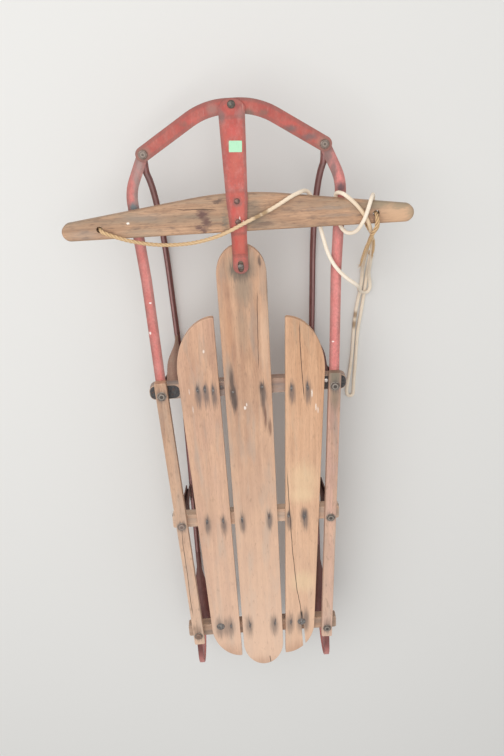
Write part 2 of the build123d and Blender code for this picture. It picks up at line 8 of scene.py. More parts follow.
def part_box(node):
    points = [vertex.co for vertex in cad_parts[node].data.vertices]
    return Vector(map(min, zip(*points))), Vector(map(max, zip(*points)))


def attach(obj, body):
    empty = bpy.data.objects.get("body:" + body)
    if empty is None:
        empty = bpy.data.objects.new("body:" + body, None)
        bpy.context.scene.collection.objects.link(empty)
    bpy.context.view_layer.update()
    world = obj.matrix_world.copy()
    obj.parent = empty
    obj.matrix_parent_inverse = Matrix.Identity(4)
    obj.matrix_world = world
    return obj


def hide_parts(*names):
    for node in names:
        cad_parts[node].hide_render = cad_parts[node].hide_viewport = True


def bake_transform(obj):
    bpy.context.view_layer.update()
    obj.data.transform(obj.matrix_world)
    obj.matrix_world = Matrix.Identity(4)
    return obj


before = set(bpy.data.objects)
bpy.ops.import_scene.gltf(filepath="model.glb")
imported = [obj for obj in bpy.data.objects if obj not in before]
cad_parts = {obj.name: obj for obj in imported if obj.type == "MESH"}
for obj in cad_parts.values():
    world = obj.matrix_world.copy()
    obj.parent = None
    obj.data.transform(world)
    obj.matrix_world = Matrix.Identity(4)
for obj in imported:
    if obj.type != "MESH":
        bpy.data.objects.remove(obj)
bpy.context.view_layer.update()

# A steerable runner sled with a weathered ash deck, faded red enamelled steel and a cotton tow rope.
# Places are given in millimetres from the bolt line of the front bench, as the sled's maker would set
# them out: x across, y towards the front, z up from the floor.
MM = 0.001
bench_low, bench_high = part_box("cross_bench_front")
BENCH_LINE = (bench_low.y + bench_high.y) / 2


def at(x, y, z):
    """A point in metres in the sled's frame."""
    return Vector((x * MM, y * MM + BENCH_LINE, z * MM))


# Camera, floor and light
CAMERA_PLACE = (-3.0, 626.5, 1427.1)
CAMERA_AIM = (8.3, 24.3, 168.0)
CAMERA_ROLL = math.radians(3.3)
LENS_MM = 35.0
SENSOR_MM = 36.0
FLOOR_COLOUR = "#DAD9D6"
FLOOR_SIZE = 12
WORLD_LIGHT = 0.62
LAMP_SIZE = 3.0
LAMP_POWER = 62
LAMP_PLACE = (-0.7, 1.0, 2.6)

# Larger than the sled, so that marks given by x and y hold at every height
FAR = 1e6
# Noise strays about a quarter from its middle, so a push is this many times what it strays
NOISE_SPREAD = 4
# Along the deck, where the painted light that makes the wood paler towards the rear starts and where it is
# full
REAR_LIGHT_START = 60.0
REAR_LIGHT_FULL = -640.0
# Depths in millimetres that the bumps of the materials are drawn with
GRAIN_DEPTH = 0.12
PAINT_DEPTH = 0.10
PIT_DEPTH = 0.12
YARN_DEPTH = 0.25
PAPER_DEPTH = 0.05
# How much deeper a crack in the wood is than its pores
CRACK_DEPTH = 4.0
# The rope's braid: length of one repeat, and how many yarns wind each way
BRAID_PITCH = 7.0
BRAID_YARNS = 8.0
# What the rope's mesh tells its material at each point: how tan, how far along, how deep between two
# strands, how brown, and the way round as a cosine and a sine
ROPE_FACTS = ("tan", "along", "groove", "mark", "east", "north")


def linear(colour):
    """An sRGB hex colour as the linear colour that shaders use. A socket stays as it is."""
    if not isinstance(colour, str):
        return colour
    values = [int(colour[i:i + 2], 16) / 255 for i in (1, 3, 5)]
    return tuple(v / 12.92 if v <= 0.04045 else ((v + 0.055) / 1.055) ** 2.4 for v in values) + (1.0,)


def add(tree, kind, inputs=None, **settings):
    """Add one shader node with its settings, and its inputs as values or as sockets to link."""
    item = tree.nodes.new("ShaderNode" + kind)
    for name, value in settings.items():
        setattr(item, name, value)
    for name, value in (inputs or {}).items():
        if isinstance(value, bpy.types.NodeSocket):
            tree.links.new(value, item.inputs[name])
        else:
            item.inputs[name].default_value = value
    return item.outputs


def calc(tree, how, *values):
    """Arithmetic with numbers, such as MULTIPLY."""
    return add(tree, "Math", dict(enumerate(values)), operation=how)["Value"]


def calc_vector(tree, how, *values):
    """Arithmetic with places, such as DIVIDE."""
    return add(tree, "VectorMath", dict(enumerate(values)), operation=how)["Vector"]


def ramp(tree, value, low, high, start=0.0, end=1.0, **settings):
    """From start, where the value is low, to end, where it is high."""
    ranges = {"Value": value, "From Min": low, "From Max": high, "To Min": start, "To Max": end}
    return add(tree, "MapRange", ranges, **settings)["Result"]


def coated(tree, colour, *coats):
    """The colour with coats over it, each a mask and a colour."""
    for mask, coat in coats:
        inputs = {0: mask, 6: linear(colour), 7: linear(coat)}
        colour = add(tree, "Mix", inputs, data_type="RGBA")[2]
    return colour


def new_material(name):
    material = bpy.data.materials.new(name)
    material.use_nodes = True
    material.node_tree.nodes.clear()
    return material, material.node_tree


def shaded(tree, **values):
    """End a material with a shader of these values."""
    inputs = {key.replace("_", " ").title(): value for key, value in values.items()}
    shader = add(tree, "BsdfPrincipled", inputs)
    add(tree, "OutputMaterial", {"Surface": shader["BSDF"]})


def plain(name, colour, roughness):
    material, tree = new_material(name)
    shaded(tree, base_color=linear(colour), roughness=roughness)
    return material


def place_in_mm(tree):
    """Each point of a piece in the sled's millimetres, fixed to the piece."""
    spot = add(tree, "TexCoord")["Object"]
    scaled = add(tree, "VectorMath", {0: spot, "Scale": 1 / MM}, operation="SCALE")["Vector"]
    return calc_vector(tree, "ADD", scaled, (0, -BENCH_LINE / MM, 0))


def turned(tree, place):
    """The same place with x and y swapped, for wood whose grain runs across the sled."""
    parts = add(tree, "SeparateXYZ", {0: place})
    return add(tree, "CombineXYZ", {"X": parts["Y"], "Y": parts["X"], "Z": parts["Z"]})["Vector"]


def cloud(tree, place, size, low, high, seed=0, detail=4.0, top=1.0):
    """A soft mask of blots, from 0 at low to top at high. Their size in millimetres is across and along."""
    scaled = calc_vector(tree, "DIVIDE", place, (size[0], size[1], size[0]))
    inputs = {"Vector": scaled, "W": seed, "Scale": 1.0, "Detail": detail}
    noise = add(tree, "TexNoise", inputs, noise_dimensions="4D")[0]
    return ramp(tree, noise, low, high, 0.0, top)


def ragged(tree, place, size, reach):
    """The place pushed about by up to reach millimetres, so that marks laid on it get uneven edges."""
    reaches = reach if isinstance(reach, tuple) else (reach, reach, reach)
    scaled = calc_vector(tree, "DIVIDE", place, size)
    noise = add(tree, "TexNoise", {"Vector": scaled, "Scale": 1.0, "Detail": 3.0})["Color"]
    middle = calc_vector(tree, "SUBTRACT", noise, (0.5, 0.5, 0.5))
    push = calc_vector(tree, "MULTIPLY", middle, [NOISE_SPREAD * r for r in reaches])
    return calc_vector(tree, "ADD", place, push)


def blots(tree, place, table, soft):
    """Mask of oval marks with soft rims, each given as x, y, half width, half length and strength."""
    whole = 0.0
    for x, y, half_x, half_y, strength in table:
        off = calc_vector(tree, "SUBTRACT", place, (x, y, 0))
        off = calc_vector(tree, "DIVIDE", off, (half_x, half_y, FAR))
        reach = add(tree, "VectorMath", {0: off}, operation="LENGTH")["Value"]
        one = ramp(tree, reach, 1.0, soft, 0.0, strength, interpolation_type="SMOOTHSTEP")
        whole = calc(tree, "MAXIMUM", whole, one)
    return whole


def crack(tree, place, points, half_width):
    """Mask of a thin line through points (x, y) that follow each other in y, fading out at both ends."""
    parts = add(tree, "SeparateXYZ", {0: place})
    line_x = points[0][0]
    for (x0, y0), (x1, y1) in zip(points, points[1:]):
        line_x = calc(tree, "ADD", line_x, ramp(tree, parts["Y"], y0, y1, 0.0, x1 - x0))
    first, last = points[0][1], points[-1][1]
    half = abs(last - first) / 2
    off = calc(tree, "ABSOLUTE", calc(tree, "SUBTRACT", parts["X"], line_x))
    from_middle = calc(tree, "ABSOLUTE", calc(tree, "SUBTRACT", parts["Y"], (first + last) / 2))
    near = ramp(tree, off, half_width, half_width * 0.3)
    return calc(tree, "MULTIPLY", near, ramp(tree, from_middle, half, half * 0.8))


def corners(tree, radius, low=0.995, high=0.86):
    """Mask of a piece's outer edges and corners, within the radius in millimetres."""
    soft = add(tree, "Bevel", {"Radius": radius * MM}, samples=4)["Normal"]
    true = add(tree, "NewGeometry")["Normal"]
    alike = add(tree, "VectorMath", {0: soft, 1: true}, operation="DOT_PRODUCT")["Value"]
    return ramp(tree, alike, low, high)


def painted_over(tree, colour, marks, place, soft=0.2):
    """The colour with each row of marks on it: a hex colour and a table of blots."""
    return coated(tree, colour, *((blots(tree, place, table, soft), tint) for tint, table in marks))


def flecked(tree, colour, tint, chips, place, reach):
    """The colour with a few small chips in it."""
    return painted_over(tree, colour, [(tint, chips)], ragged(tree, place, (2, 2, 2), reach), 0.5)


def finished(tree, colour, roughness, metallic, height, depth):
    """Close a material that has bumps, whose depth is given in millimetres."""
    bump = add(tree, "Bump", {"Height": height, "Distance": depth * MM, "Strength": 1.0})["Normal"]
    shaded(tree, base_color=colour, roughness=roughness, metallic=metallic, normal=bump)


# How the marks on wood get uneven edges, as the reach and the size of the push: streaky where the grain
# runs along the sled, torn on the steering bar and the benches
STREAKY = ((1.3, 9.0, 0.0), (2.2, 26.0, 4.0))
TORN = ((4.5, 3.0, 0.0), (8.0, 3.2, 4.0))


def ash(name, pale, dark, grey, weather, across=False, painted_rear_light=0.0, coarse=1.0, marks=(), cracks=(), chips=(),
        seed=0):
    """Open-pored ash, once varnished: soft year rings, fine fibres and short pores, silver-grey where rain
    has been, pale where the corners are rubbed, and paler towards the rear as painted light.
    Fibres and pores are drawn about twice as coarse as real ones."""
    material, tree = new_material(name)
    place = place_in_mm(tree)
    grain = turned(tree, place) if across else place
    grain = ragged(tree, grain, (30, 260, 30), 2.0)
    rings = cloud(tree, grain, (10, 420), 0.34, 0.66, seed)
    fibres = cloud(tree, grain, (1.3, 50), 0.35, 0.7, seed + 3, 3.0)
    pores = cloud(tree, grain, (0.9, 11), 0.56, 0.7, seed + 5, 2.0)
    amber = cloud(tree, grain, (20, 55), 0.42, 0.66, seed + 6, 5.0, 0.4)
    smudged = cloud(tree, grain, (22, 85), 0.5, 0.72, seed + 7, 6.0, 0.4)
    low, high = 0.62 - 0.25 * weather, 0.8 - 0.2 * weather
    rained = cloud(tree, grain, (16, 110), low, high, seed + 8, 5.0, 0.7)
    coats = [
        (rings, dark), (amber, "#E0B38E"), (smudged, "#A07C64"),
        (calc(tree, "MULTIPLY", fibres, 0.26 * coarse), "#7A5A44"),
        (calc(tree, "MULTIPLY", pores, 0.3 * coarse), "#5E4638"), (rained, grey),
    ]
    # Painted light: the wood is made paler towards the rear
    if painted_rear_light:
        along = add(tree, "SeparateXYZ", {0: place})["Y"]
        coats.append((ramp(tree, along, REAR_LIGHT_START, REAR_LIGHT_FULL, 0.0, painted_rear_light), "#F4D2B8"))
    low, high = 0.66 - 0.06 * coarse, 0.8 - 0.04 * coarse
    dirt = cloud(tree, grain, (6, 20), low, high, seed + 11, 6.0, 0.4 * coarse)
    patchy = cloud(tree, place, (5, 24), 0.35, 0.6, seed + 14)
    rubbed = calc(tree, "MULTIPLY", calc(tree, "MULTIPLY", corners(tree, 2.2), patchy), 0.6)
    colour = coated(tree, pale, *coats, (dirt, "#7A6252"), (rubbed, "#EBD0B0"))
    reach, size = TORN if across else STREAKY
    colour = painted_over(tree, colour, marks, ragged(tree, place, size, reach))
    gentle = ragged(tree, place, (8, 30, 8), 0.5)
    open_grain = 0.0
    for points, half_width in cracks:
        line = crack(tree, turned(tree, gentle) if across else gentle, points, half_width)
        open_grain = calc(tree, "MAXIMUM", open_grain, line)
    colour = coated(tree, colour, (open_grain, "#45332A"))
    colour = flecked(tree, colour, "#F4ECE2", chips, place, 0.6)
    height = calc(tree, "ADD", fibres, pores)
    height = calc(tree, "ADD", height, calc(tree, "MULTIPLY", open_grain, CRACK_DEPTH))
    height = calc(tree, "MULTIPLY", height, -1.0)
    finished(tree, colour, ramp(tree, rained, 0.0, 1.0, 0.55, 0.8), 0.0, height, GRAIN_DEPTH)
    return material


def enamel(name, paint, faded, wear, bare=("#8E7F78", "#604C43"), film="#6E5048", filmed=0.9, chalk="#C79088",
           marks=(), chips=(), seed=0, sole=False):
    """Red enamel baked on steel, chalky with age: soft fading, fine scratches, a brown film of dirt along
    the edges, and edges and chips rubbed to grey steel that has rusted brown."""
    material, tree = new_material(name)
    place = place_in_mm(tree)
    fading = cloud(tree, place, (26, 40), 0.34, 0.66, seed, 5.0)
    chalky = cloud(tree, place, (8, 14), 0.48, 0.72, seed + 1, 6.0, 0.35)
    mottle = cloud(tree, place, (3, 4), 0.4, 0.8, seed + 2, 5.0, 0.4)
    colour = coated(tree, paint, (fading, faded), (chalky, chalk), (mottle, "#7C3C3A"))
    colour = painted_over(tree, colour, marks, ragged(tree, place, (5, 8, 5), 2.0))
    soiled = cloud(tree, place, (14, 24), 0.22, 0.5, seed + 3, 5.0, filmed)
    soiled = calc(tree, "MULTIPLY", corners(tree, 9.0, 0.9999, 0.994), soiled)
    scratches = cloud(tree, place, (0.8, 26), 0.66, 0.76, seed + 4, 2.0, 0.4)
    colour = coated(tree, colour, (soiled, film), (scratches, "#E6BDB2"))
    steel = coated(tree, bare[0], (cloud(tree, place, (6, 9), 0.38, 0.62, seed + 6, 5.0), bare[1]))
    patchy = cloud(tree, place, (7, 16), 0.62 - 0.4 * wear, 0.78 - 0.35 * wear, seed + 8, 5.0)
    low, high = 0.78 - 0.15 * wear, 0.84 - 0.15 * wear
    chipped = cloud(tree, place, (4, 5), low, high, seed + 10, 6.0, 0.8)
    bared = calc(tree, "MAXIMUM", calc(tree, "MULTIPLY", corners(tree, 1.6), patchy), chipped)
    if sole:
        crest = add(tree, "Attribute", attribute_name="crest")["Fac"]
        colour = coated(tree, colour, (calc(tree, "MULTIPLY", crest, 0.8), "#A98280"))
        height = add(tree, "SeparateXYZ", {0: ragged(tree, place, (5, 8, 5), 1.5)})["Z"]
        bared = calc(tree, "MAXIMUM", bared, ramp(tree, height, 3.2, 1.2))
    colour = coated(tree, colour, (bared, steel))
    colour = flecked(tree, colour, "#F0E4DE", chips, place, 0.5)
    metallic = calc(tree, "MULTIPLY", bared, 0.45)
    grit = cloud(tree, place, (0.9, 0.9), 0.3, 0.7, seed + 12, 3.0, 0.25)
    height = calc(tree, "SUBTRACT", grit, bared)
    finished(tree, colour, ramp(tree, bared, 0.0, 1.0, 0.5, 0.68), metallic, height, PAINT_DEPTH)
    return material


def old_steel(name, light, dark, marks=(), seed=0, metallic=0.4, rusty=0.7, rough=(0.45, 0.8)):
    """Plain steel that has lain in the wet: a dark brown-grey skin, pitted and dull, bright where rubbed."""
    material, tree = new_material(name)
    place = place_in_mm(tree)
    film = cloud(tree, place, (3.5, 3.5), 0.36, 0.64, seed, 6.0)
    rust = cloud(tree, place, (5, 5), 0.55, 0.7, seed + 2, 5.0, rusty)
    colour = coated(tree, light, (film, dark), (rust, "#6E4A38"))
    colour = painted_over(tree, colour, marks, ragged(tree, place, (2.5, 2.5, 2.5), 0.3), 0.8)
    colour = coated(tree, colour, (calc(tree, "MULTIPLY", corners(tree, 0.8), 0.5), "#A39A92"))
    pits = cloud(tree, place, (1.2, 1.2), 0.35, 0.65, seed + 4, 4.0)
    finished(tree, colour, ramp(tree, rust, 0.0, 1.0, *rough), metallic, pits, PIT_DEPTH)
    return material


def cotton(name):
    """Cotton line: soft, matt and slightly furry. It is braided and cream where it is clean, and the hemp
    of its laid part is tan, darker deep in the grooves between its strands."""
    material, tree = new_material(name)
    place = place_in_mm(tree)
    facts = {key: add(tree, "Attribute", attribute_name=key)["Fac"] for key in ROPE_FACTS}
    turn = calc(tree, "ARCTAN2", facts["north"], facts["east"])
    yarns = calc(tree, "MULTIPLY", turn, BRAID_YARNS)
    picks = calc(tree, "MULTIPLY", facts["along"], 2 * math.pi / (BRAID_PITCH * MM))
    waves = [calc(tree, "SINE", calc(tree, way, yarns, picks)) for way in ("ADD", "SUBTRACT")]
    weave = ramp(tree, calc(tree, "MULTIPLY", *waves), -1.0, 1.0)
    fluff = cloud(tree, place, (0.8, 0.8), 0.3, 0.7, 1.0, 4.0)
    soil = cloud(tree, place, (14, 14), 0.45, 0.75, 4.0, 4.0, 0.5)
    lows = ramp(tree, weave, 0.5, 0.0, 0.0, 0.25)
    deep = ramp(tree, facts["groove"], 0.15, 1.0, 0.0, 0.6)
    cream = coated(tree, "#FAEDDB", (soil, "#E6D4B8"), (lows, "#C6B498"))
    hemp = coated(tree, "#E4C498", (fluff, "#CDA676"), (deep, "#96765A"))
    colour = coated(tree, cream, (facts["tan"], hemp), (facts["mark"], "#9A7A54"))
    finished(tree, colour, 0.92, 0.0, calc(tree, "ADD", weave, fluff), YARN_DEPTH)
    return material


def label_paper(name):
    """A small blank paper sticker, pale green and dirty at its rim."""
    material, tree = new_material(name)
    dirt = cloud(tree, place_in_mm(tree), (4, 4), 0.5, 0.75, 2.0, 5.0, 0.5)
    finished(tree, coated(tree, "#ACDDB8", (dirt, "#8CBB98")), 0.6, 0.0, dirt, PAPER_DEPTH)
    return material


def make_camera():
    place, aim = at(*CAMERA_PLACE), at(*CAMERA_AIM)
    forward = (aim - place).normalized()
    right = forward.cross(Vector((0, 1, 0))).normalized()
    up = right.cross(forward)
    rolled = right * math.cos(CAMERA_ROLL) - up * math.sin(CAMERA_ROLL)
    axes = Matrix((rolled, rolled.cross(forward), -forward)).transposed()
    data = bpy.data.cameras.new("camera")
    data.lens = LENS_MM
    data.sensor_width = SENSOR_MM
    camera = bpy.data.objects.new("camera", data)
    camera.matrix_world = Matrix.Translation(place) @ axes.to_4x4()
    bpy.context.scene.collection.objects.link(camera)
    bpy.context.scene.camera = camera


def make_stage():
    bpy.ops.mesh.primitive_plane_add(size=FLOOR_SIZE, location=(0, 0, 0))
    floor = bpy.context.object
    floor.name = "floor"
    floor.data.materials.append(plain("floor", FLOOR_COLOUR, 0.9))
    world = bpy.data.worlds.new("world")
    world.use_nodes = True
    daylight = world.node_tree.nodes["Background"].inputs
    daylight["Color"].default_value = (1, 1, 1, 1)
    daylight["Strength"].default_value = WORLD_LIGHT
    bpy.context.scene.world = world
    lamp = bpy.data.lights.new("sky", "AREA")
    lamp.shape = "RECTANGLE"
    lamp.size, lamp.size_y = LAMP_SIZE, LAMP_SIZE
    lamp.energy = LAMP_POWER
    lamp_object = bpy.data.objects.new("sky", lamp)
    lamp_object.location = LAMP_PLACE
    towards_sled = Vector((0, 0, 0)) - lamp_object.location
    lamp_object.rotation_euler = towards_sled.to_track_quat("-Z", "Y").to_euler()
    bpy.context.scene.collection.objects.link(lamp_object)


# Shapes are meshes of rings joined into skins
def turns_of(count):
    """Equal steps round a circle."""
    return [2 * math.pi * i / count for i in range(count)]


def make_object(name, places, faces, material, smooth_angle=35.0, attributes=None):
    """A mesh piece from points in metres, smooth except at edges sharper than the angle."""
    mesh = bpy.data.meshes.new(name)
    mesh.from_pydata([tuple(p) for p in places], [], faces)
    mesh.validate()
    mesh.polygons.foreach_set("use_smooth", [True] * len(mesh.polygons))
    mesh.set_sharp_from_angle(angle=math.radians(smooth_angle))
    for key, values in (attributes or {}).items():
        mesh.attributes.new(key, "FLOAT", "POINT").data.foreach_set("value", values)
    mesh.materials.append(material)
    piece = bpy.data.objects.new(name, mesh)
    bpy.context.scene.collection.objects.link(piece)
    return piece


def skin(rings, closed=False):
    """Points and faces of a skin over rings of equal numbers of points, capped unless it closes on itself."""
    count = len(rings[0])
    faces = []
    for here in range(len(rings) if closed else len(rings) - 1):
        low, high = here * count, (here + 1) % len(rings) * count
        for side in range(count):
            after = (side + 1) % count
            faces.append((low + side, low + after, high + after, high + side))
    if not closed:
        faces.append(tuple(reversed(range(count))))
        faces.append(tuple(range((len(rings) - 1) * count, len(rings) * count)))
    return [p for ring in rings for p in ring], faces


def merged(parts):
    """Several skins as one."""
    places, faces = [], []
    for more_places, more_faces in parts:
        start = len(places)
        places += more_places
        faces += [tuple(start + i for i in face) for face in more_faces]
    return places, faces


def frames_along(points, closed=False):
    """At each point of a line, two directions across it that turn as little as they can."""
    last = len(points) - 1
    across = None
    result = []
    for i in range(len(points)):
        before = points[i - 1] if i or closed else points[0]
        after = points[(i + 1) % len(points)] if i < last or closed else points[last]
        along = (after - before).normalized()
        if across is None:
            across = along.orthogonal()
        across = (across - along * across.dot(along)).normalized()
        result.append((across, along.cross(across)))
    return result


# Tow rope: an old 7 mm cotton line, braided and cream, with stretches of laid and tan hemp
ROPE_DIAMETER = 7.0
ROPE_LAY = 24.0
ROPE_SIDES = 24
# A strand's radius and the braided line's radius, both as shares of the laid rope's
STRAND_SHARE = 0.47
BRAID_SHARE = 0.97
GROOVE_DEPTH = 0.4
STRAND_TURN = 2 * math.pi / 3
ROPE_ROUTE = [
    (-235, 329, 170.2), (-235, 329, 198), (-213, 318, 195), (-187, 308, 193.5), (-157, 298, 184),
    (-123.5, 292.5, 178), (-85.5, 293.5, 180), (-52, 301, 188), (-21, 313, 198), (14.5, 330.5, 199.5),
    (45.5, 343, 197.5), (71, 356, 195.5), (92, 368, 194), (107, 372, 185), (116, 372, 173.5),
    (124, 366, 165.8), (134, 342, 165.4), (142, 305, 165.6), (147, 286, 166.2), (153, 263, 167.5),
    (162, 242, 171), (174.5, 225, 173.5), (189, 211, 173.5), (203, 200, 170), (213, 188, 152),
    (218, 174, 118), (225, 157, 80), (234, 140, 40), (244, 128, 15), (255, 126, 10), (260.5, 137, 9),
    (257.5, 155, 13), (252, 176, 32), (247, 207, 76), (241, 242, 120), (237, 271, 148),
    (229.5, 292.5, 177), (225, 304, 189.5), (220, 319, 194), (210, 334.5, 192.8),
    (199.5, 347.5, 192.6), (187.5, 359, 192.6), (178, 366, 188.5), (171, 366, 176), (168, 360, 165.6),
    (170, 336, 165.2), (175, 307, 165.4), (185, 294.5, 170), (194.5, 294.5, 179), (203, 301.5, 189),
    (208, 313, 198), (214, 326, 201.5), (220, 344, 200.5), (224.5, 356, 195.5), (229, 358.5, 184),
    (232, 358, 171), (234, 350, 160.5), (235, 329, 159.5), (235, 329, 200), (234, 309, 200.5),
    (228.5, 297, 196), (227, 288.5, 186), (229, 268, 152), (234, 241, 105), (239.5, 201, 45),
    (243, 172, 11), (243, 144.5, 4.2), (238, 118, 4), (232, 88, 4.2), (228, 53.5, 4), (226, 8.5, 4.2),
    (222, -35.5, 4), (217.5, -70, 4.2), (214, -92, 4), (214, -111, 4.2), (228, -111, 4),
    (228.5, -92, 4.2), (229.5, -65, 4), (232.5, -29, 4.2), (234, 8, 4), (236.5, 44, 4.2),
    (242.5, 80, 4), (247.5, 114, 4.2), (251, 142, 4), (255, 175, 4.2), (259, 203, 7),
]
# How tan and how laid the rope is along the numbers of the route's points: 0 is cream or braided, 1 is tan
# or laid
TAN_SHARES = (
    (0, 1.0), (7.5, 0.95), (10, 0.55), (13, 0.15), (20, 0.0), (34, 0.1), (36, 0.7), (39, 0.6), (42, 0.1),
    (56.4, 0.1), (57.2, 1.0), (62.3, 1.0), (63.5, 0.3), (66, 0.1), (90, 0.1),
)
LAID_SHARES = (
    (0, 0.55), (8, 0.45), (12, 0.1), (13, 0.0), (56.6, 0.0), (57.5, 1.0), (62, 1.0), (63.3, 0.0), (90, 0.0),
)
# Brown marks on it, also by the numbers of the points
ROPE_MARKS = (9.6, 10.0, 68.3, 68.9)

# Frayed ends of an older piece of tan rope that is threaded through the right hole
TAILS = {
    "frayed_end_right": (
        (235.5, 326, 188), (235.5, 322, 199), (236.2, 314, 201), (236, 304, 192), (233.5, 286, 166),
        (238, 270, 152), (241, 252, 134), (242, 236, 119),
    ),
    "frayed_end_left": (
        (219, 324, 160), (220, 312, 162), (223, 302, 176), (229.5, 291, 172), (231.5, 280, 168),
        (226, 264, 152), (222.5, 240, 134), (221, 218, 118),
    ),
}
TAIL_DIAMETER = 5.4
TAIL_LAY = 17.0
TAIL_STEPS = 14
# Rings over which an end thins out, and how thick it still is there
TAIL_TAPER = 14
TAIL_TIP = 0.45
TAIL_HAIRS = 26
HAIR_SIDES = 3
HAIR_STEPS = 5
HAIR_BEND = 0.35
HAIR_TAPER = 0.14
HAIR_THICKNESS = 0.7
HAIR_LENGTHS = (5, 12)

KNOT_STEPS = 96
KNOT_RISE = 1.1


def rope_line():
    """Points along the rope, as Blender reads them from the route's spline."""
    data = bpy.data.curves.new("rope_line", "CURVE")
    data.dimensions = "3D"
    spline = data.splines.new("NURBS")
    spline.points.add(len(ROPE_ROUTE) - 1)
    for point, place in zip(spline.points, ROPE_ROUTE):
        point.co = (*at(*place), 1)
    spline.order_u = 3
    spline.use_endpoint_u = True
    spline.resolution_u = 20
    curve = bpy.data.objects.new("rope_line", data)
    bpy.context.scene.collection.objects.link(curve)
    bpy.context.view_layer.update()
    mesh = bpy.data.meshes.new_from_object(curve)
    points = [v.co.copy() for v in mesh.vertices]
    bpy.data.objects.remove(curve)
    bpy.data.curves.remove(data)
    bpy.data.meshes.remove(mesh)
    return points


def share_at(table, number):
    """A value between the rows of a table, in proportion."""
    for (low, first), (high, second) in zip(table, table[1:]):
        if number <= high:
            return first + (second - first) * max(number - low, 0.0) / (high - low)
    return table[-1][1]


def twisted(points, diameter, lay, laid, tan=None, closed=False):
    """Rings of a rope, round and braided where laid is 0, and of three strands wound round each other where
    it is 1, with what its material needs to know at each point."""
    rings, facts = [], {key: [] for key in ROPE_FACTS}
    length = 0.0
    strand = diameter / 2 * STRAND_SHARE
    offset = diameter / 2 - strand
    for i, (place, (first, second)) in enumerate(zip(points, frames_along(points, closed))):
        if i:
            length += (place - points[i - 1]).length
        ring = []
        for turn in turns_of(ROPE_SIDES):
            from_strand = (turn + STRAND_TURN / 2) % STRAND_TURN - STRAND_TURN / 2
            sideways = offset * math.sin(from_strand)
            lobe = offset * math.cos(from_strand) + math.sqrt(max(strand ** 2 - sideways ** 2, 0.0))
            radius = lobe * laid[i] + diameter / 2 * BRAID_SHARE * (1 - laid[i])
            turn += 2 * math.pi * length / lay
            ring.append(place + (first * math.cos(turn) + second * math.sin(turn)) * radius)
            facts["groove"].append(laid[i] * (1 - lobe / (diameter / 2)) / GROOVE_DEPTH)
            facts["east"].append(math.cos(turn))
            facts["north"].append(math.sin(turn))
        facts["tan"] += [tan[i] if tan else 1.0] * ROPE_SIDES
        facts["along"] += [length] * ROPE_SIDES
        facts["mark"] += [0.0] * ROPE_SIDES
        rings.append(ring)
    return rings, facts


def make_rope(material):
    points = rope_line()
    laid, tan, marks = [], [], []
    for i in range(len(points)):
        number = i / (len(points) - 1) * (len(ROPE_ROUTE) - 2) + 0.5
        laid.append(share_at(LAID_SHARES, number))
        tan.append(share_at(TAN_SHARES, number))
        near = min(abs(number - mark) for mark in ROPE_MARKS)
        marks.append(min(max(1.2 - near * 4, 0.0), 0.8))
    rings, facts = twisted(points, ROPE_DIAMETER * MM, ROPE_LAY * MM, laid, tan)
    facts["mark"] = [mark for mark in marks for _ in range(ROPE_SIDES)]
    rope = make_object("tow_rope_line", *skin(rings), material, 80.0, facts)
    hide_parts("tow_rope")
    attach(rope, "steering")


def smooth_line(places, steps):
    """Points on a smooth line that passes through a few places."""
    ends = [places[0] * 2 - places[1], *places, places[-1] * 2 - places[-2]]
    line = []
    for a, b, c, d in zip(ends, ends[1:], ends[2:], ends[3:]):
        bend, twist = 2 * a - 5 * b + 4 * c - d, 3 * b - a - 3 * c + d
        for i in range(steps):
            t = i / steps
            line.append(0.5 * (2 * b + (c - a) * t + bend * t * t + twist * t ** 3))
    return line + [places[-1]]


def hair(start, direction, length, drawn):
    """One loose fibre that bends away under its own weight."""
    bend = Vector((drawn.uniform(-1, 1), drawn.uniform(-1, 1), drawn.uniform(-1, 0.2))) * HAIR_BEND
    points = []
    for i in range(HAIR_STEPS + 1):
        points.append(start + (direction * i + bend * i * i / HAIR_STEPS) * length / HAIR_STEPS)
    rings = []
    for i, (place, (first, second)) in enumerate(zip(points, frames_along(points))):
        radius = HAIR_THICKNESS * MM / 2 * (1 - HAIR_TAPER * i)
        turns = turns_of(HAIR_SIDES)
        rings.append([place + (first * math.cos(t) + second * math.sin(t)) * radius for t in turns])
    return skin(rings)


def make_tail(name, material, places, seed):
    """A frayed tan rope end: a laid line through the places, with fibres that stand out of it and its end."""
    drawn = random.Random(seed)
    points = smooth_line([at(*place) for place in places], TAIL_STEPS)
    rings, facts = twisted(points, TAIL_DIAMETER * MM, TAIL_LAY * MM, [1.0] * len(points))
    for i in range(len(rings)):
        thickness = min(1.0, TAIL_TIP + (len(rings) - 1 - i) / TAIL_TAPER)
        rings[i] = [points[i] + (p - points[i]) * thickness for p in rings[i]]
    parts = [skin(rings)]
    for i in range(TAIL_HAIRS):
        pick = drawn.randrange(len(points) // 4, len(points)) if i % 2 else len(points) - 1
        along = (points[pick] - points[pick - 1]).normalized()
        out = Vector([drawn.uniform(-1, 1) for _ in range(3)])
        aim = (along * (0.9 if i % 2 else 1.4) + out * 0.5).normalized()
        parts.append(hair(points[pick] + out * 0.8 * MM, aim, drawn.uniform(*HAIR_LENGTHS) * MM, drawn))
    places_out, faces = merged(parts)
    extra = len(places_out) - len(facts["tan"])
    facts = {key: values + [1.0 if key == "tan" else 0.2] * extra for key, values in facts.items()}
    tail = make_object(name, places_out, faces, material, 80.0, facts)
    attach(tail, "steering")
    return tail


